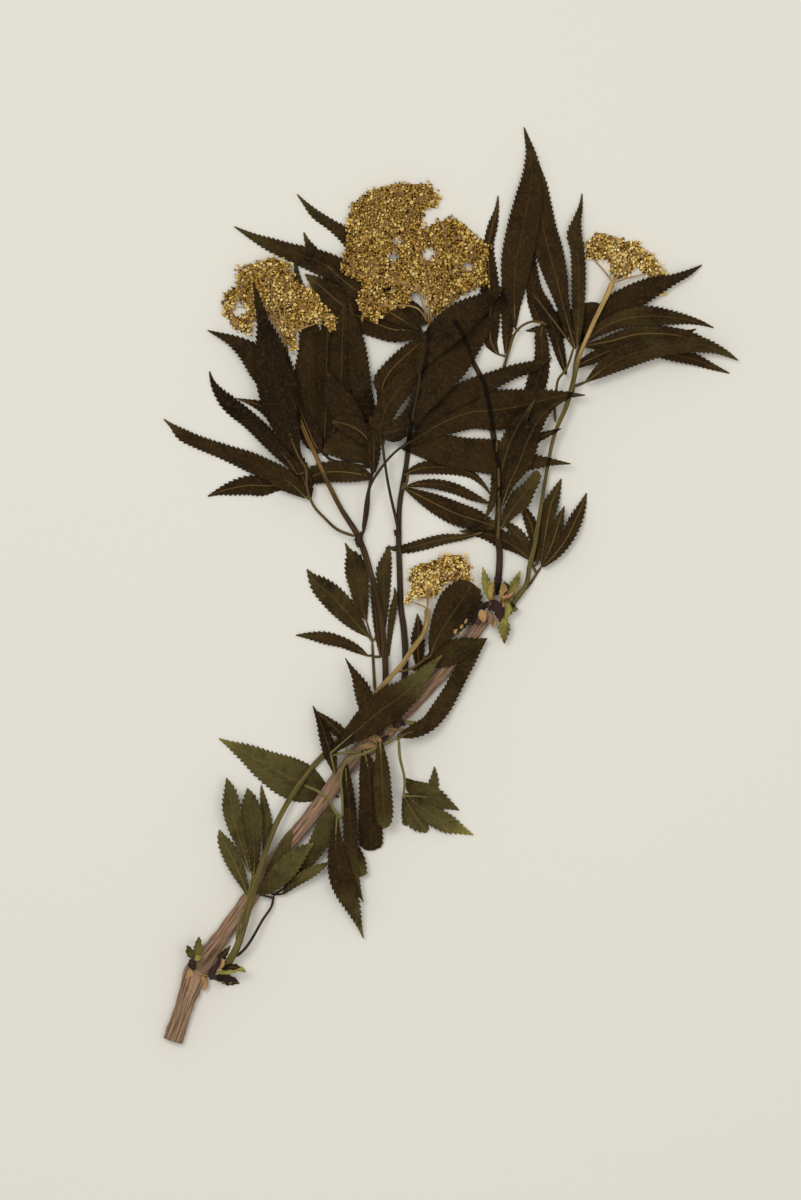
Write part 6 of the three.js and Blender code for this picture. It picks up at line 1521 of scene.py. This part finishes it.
def scatterTree():
    maker = TreeMaker("scatterFlorets")
    add, draw, given = maker.add, maker.draw, maker.given
    crowd = add("GeometryNodeInputNamedAttribute", {"data_type": "FLOAT"}, Name="crowd")
    scattered = add("GeometryNodeDistributePointsOnFaces", {"distribute_method": "POISSON"},
                    Mesh=given["Geometry"], Distance_Min=given["Spacing"], Density_Max=given["Density"],
                    Density_Factor=crowd, Seed=given["Seed"])
    lift = add("ShaderNodeCombineXYZ", Z=draw("FLOAT", given["Lift Low"], given["Lift High"], 1))
    moved = add("GeometryNodeSetPosition", Geometry=scattered, Offset=lift)
    tinted = add("GeometryNodeStoreNamedAttribute", {"data_type": "FLOAT", "domain": "POINT"}, Geometry=moved,
                 Name="tint", Value=draw("FLOAT", given["Tint Low"], given["Tint High"], 2))
    parts = add("GeometryNodeCollectionInfo", Collection=given["Florets"], Separate_Children=True,
                Reset_Children=True)
    tilt = given["Tilt"]
    under = add("ShaderNodeMath", {"operation": "MULTIPLY"}, (tilt, -1.0))
    turn = add("ShaderNodeCombineXYZ", X=draw("FLOAT", under, tilt, 3), Y=draw("FLOAT", under, tilt, 4),
               Z=draw("FLOAT", 0.0, 2 * math.pi, 5))
    placed = add("GeometryNodeInstanceOnPoints", Points=tinted, Instance=parts, Pick_Instance=True,
                 Instance_Index=draw("INT", 0, len(florets.objects) - 1, 6), Rotation=turn,
                 Scale=draw("FLOAT", given["Scale Low"], given["Scale High"], 7))
    real = add("GeometryNodeRealizeInstances", Geometry=placed)
    dressed = add("GeometryNodeSetMaterial", Geometry=real, Material=given["Material"])
    maker.feed(maker.stop.inputs[0], dressed)
    return maker.tree


floretTree = scatterTree()


# florets scattered over a carrier; each pair of limits goes to the tree's Low and High inputs
def scatter(mesh, look, tints, name):
    carrier = shown(bpy.data.objects.new(name, mesh))
    modifier = carrier.modifiers.new("florets", "NODES")
    modifier.node_group = floretTree
    lift = [value * mm for value in look["lift"]]
    values = {"Florets": florets, "Spacing": look["spacing"] * mm, "Density": floretLook["density"],
              "Seed": look["seed"], "Tilt": look["tilt"], "Material": materials["flower"]}
    for label, limits in (("Lift", lift), ("Scale", look["scale"]), ("Tint", tints)):
        values[label + " Low"], values[label + " High"] = limits
    for item in floretTree.interface.items_tree:
        if item.in_out == "INPUT" and item.name in values:
            modifier[item.identifier] = values[item.name]
    bpy.context.view_layer.update()
    made = bpy.data.meshes.new_from_object(carrier.evaluated_get(bpy.context.evaluated_depsgraph_get()))
    bpy.data.objects.remove(carrier)
    return made


def joinMeshes(meshes, name):
    objects = [shown(bpy.data.objects.new(name, mesh)) for mesh in meshes]
    first = objects[0]
    with bpy.context.temp_override(active_object=first, selected_editable_objects=objects, object=first):
        bpy.ops.object.join()
    return first


for name in heads:
    carrier = carrierFor(name)
    low, high = floretLook["tints"][name]
    # the lower layer's tints are lowered as painted shade
    lowShade, highShade = floretLook["lowerPaintedShade"]
    layers = [scatter(carrier, floretLook["upper"], (low, high), name + "_upper"),
              scatter(carrier, floretLook["lower"], (low - lowShade, high - highShade), name + "_lower"),
              coreFor(name), raysFor(name)]
    made = joinMeshes(layers, "fine_" + name)
    for point in made.data.vertices:
        point.co.z = max(point.co.z, floretLook["floor"] * mm)
    print(name, len(made.data.polygons), "faces")
    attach(made, "root")
    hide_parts(name)


# ---- floor, light and camera: lamps are place, size and power
stageLook = {
    "floor": srgb(228, 224, 212), "floorHalf": 1.6, "floorDrop": 0.0002, "floorRoughness": 0.9, "world": 0.45,
    "lamps": (((-0.4, 0.35, 1.7), 0.6, 11.5), ((0.45, -0.1, 1.7), 0.8, 6.5)),
    "camera": (-18.9, -5.6), "cameraHeight": 1.8, "fieldLong": 452.8, "sensor": 36, "farEnd": 10,
}


def buildStage():
    mesh = bpy.data.meshes.new("floor")
    half = stageLook["floorHalf"]
    corners = [(-half, -half, 0), (half, -half, 0), (half, half, 0), (-half, half, 0)]
    mesh.from_pydata(corners, [], [(0, 1, 2, 3)])
    floor = shown(bpy.data.objects.new("floor", mesh))
    m = MaterialMaker("palePaper")
    mesh.materials.append(m.finish(Base_Color=stageLook["floor"], Roughness=stageLook["floorRoughness"]))
    floor.location.z = -stageLook["floorDrop"]
    world = bpy.data.worlds.new("studio")
    bpy.context.scene.world = world
    world.use_nodes = True
    world.node_tree.nodes["Background"].inputs[0].default_value = (1, 1, 1, 1)
    world.node_tree.nodes["Background"].inputs[1].default_value = stageLook["world"]
    for place, size, power in stageLook["lamps"]:
        light = bpy.data.lights.new("softbox", "AREA")
        light.energy, light.size = power, size
        lamp = shown(bpy.data.objects.new("softbox", light))
        lamp.location = place
        lamp.rotation_euler = (-Vector(place)).to_track_quat("-Z", "Y").to_euler()


def buildCamera():
    camera = shown(bpy.data.objects.new("camera", bpy.data.cameras.new("camera")))
    x, y = stageLook["camera"]
    camera.location = (x * mm, y * mm, stageLook["cameraHeight"])
    camera.data.sensor_width = stageLook["sensor"]
    camera.data.lens = stageLook["sensor"] * stageLook["cameraHeight"] / (stageLook["fieldLong"] * mm)
    camera.data.clip_end = stageLook["farEnd"]
    bpy.context.scene.camera = camera


buildStage()
buildCamera()
bpy.context.scene.view_settings.view_transform = "Standard"
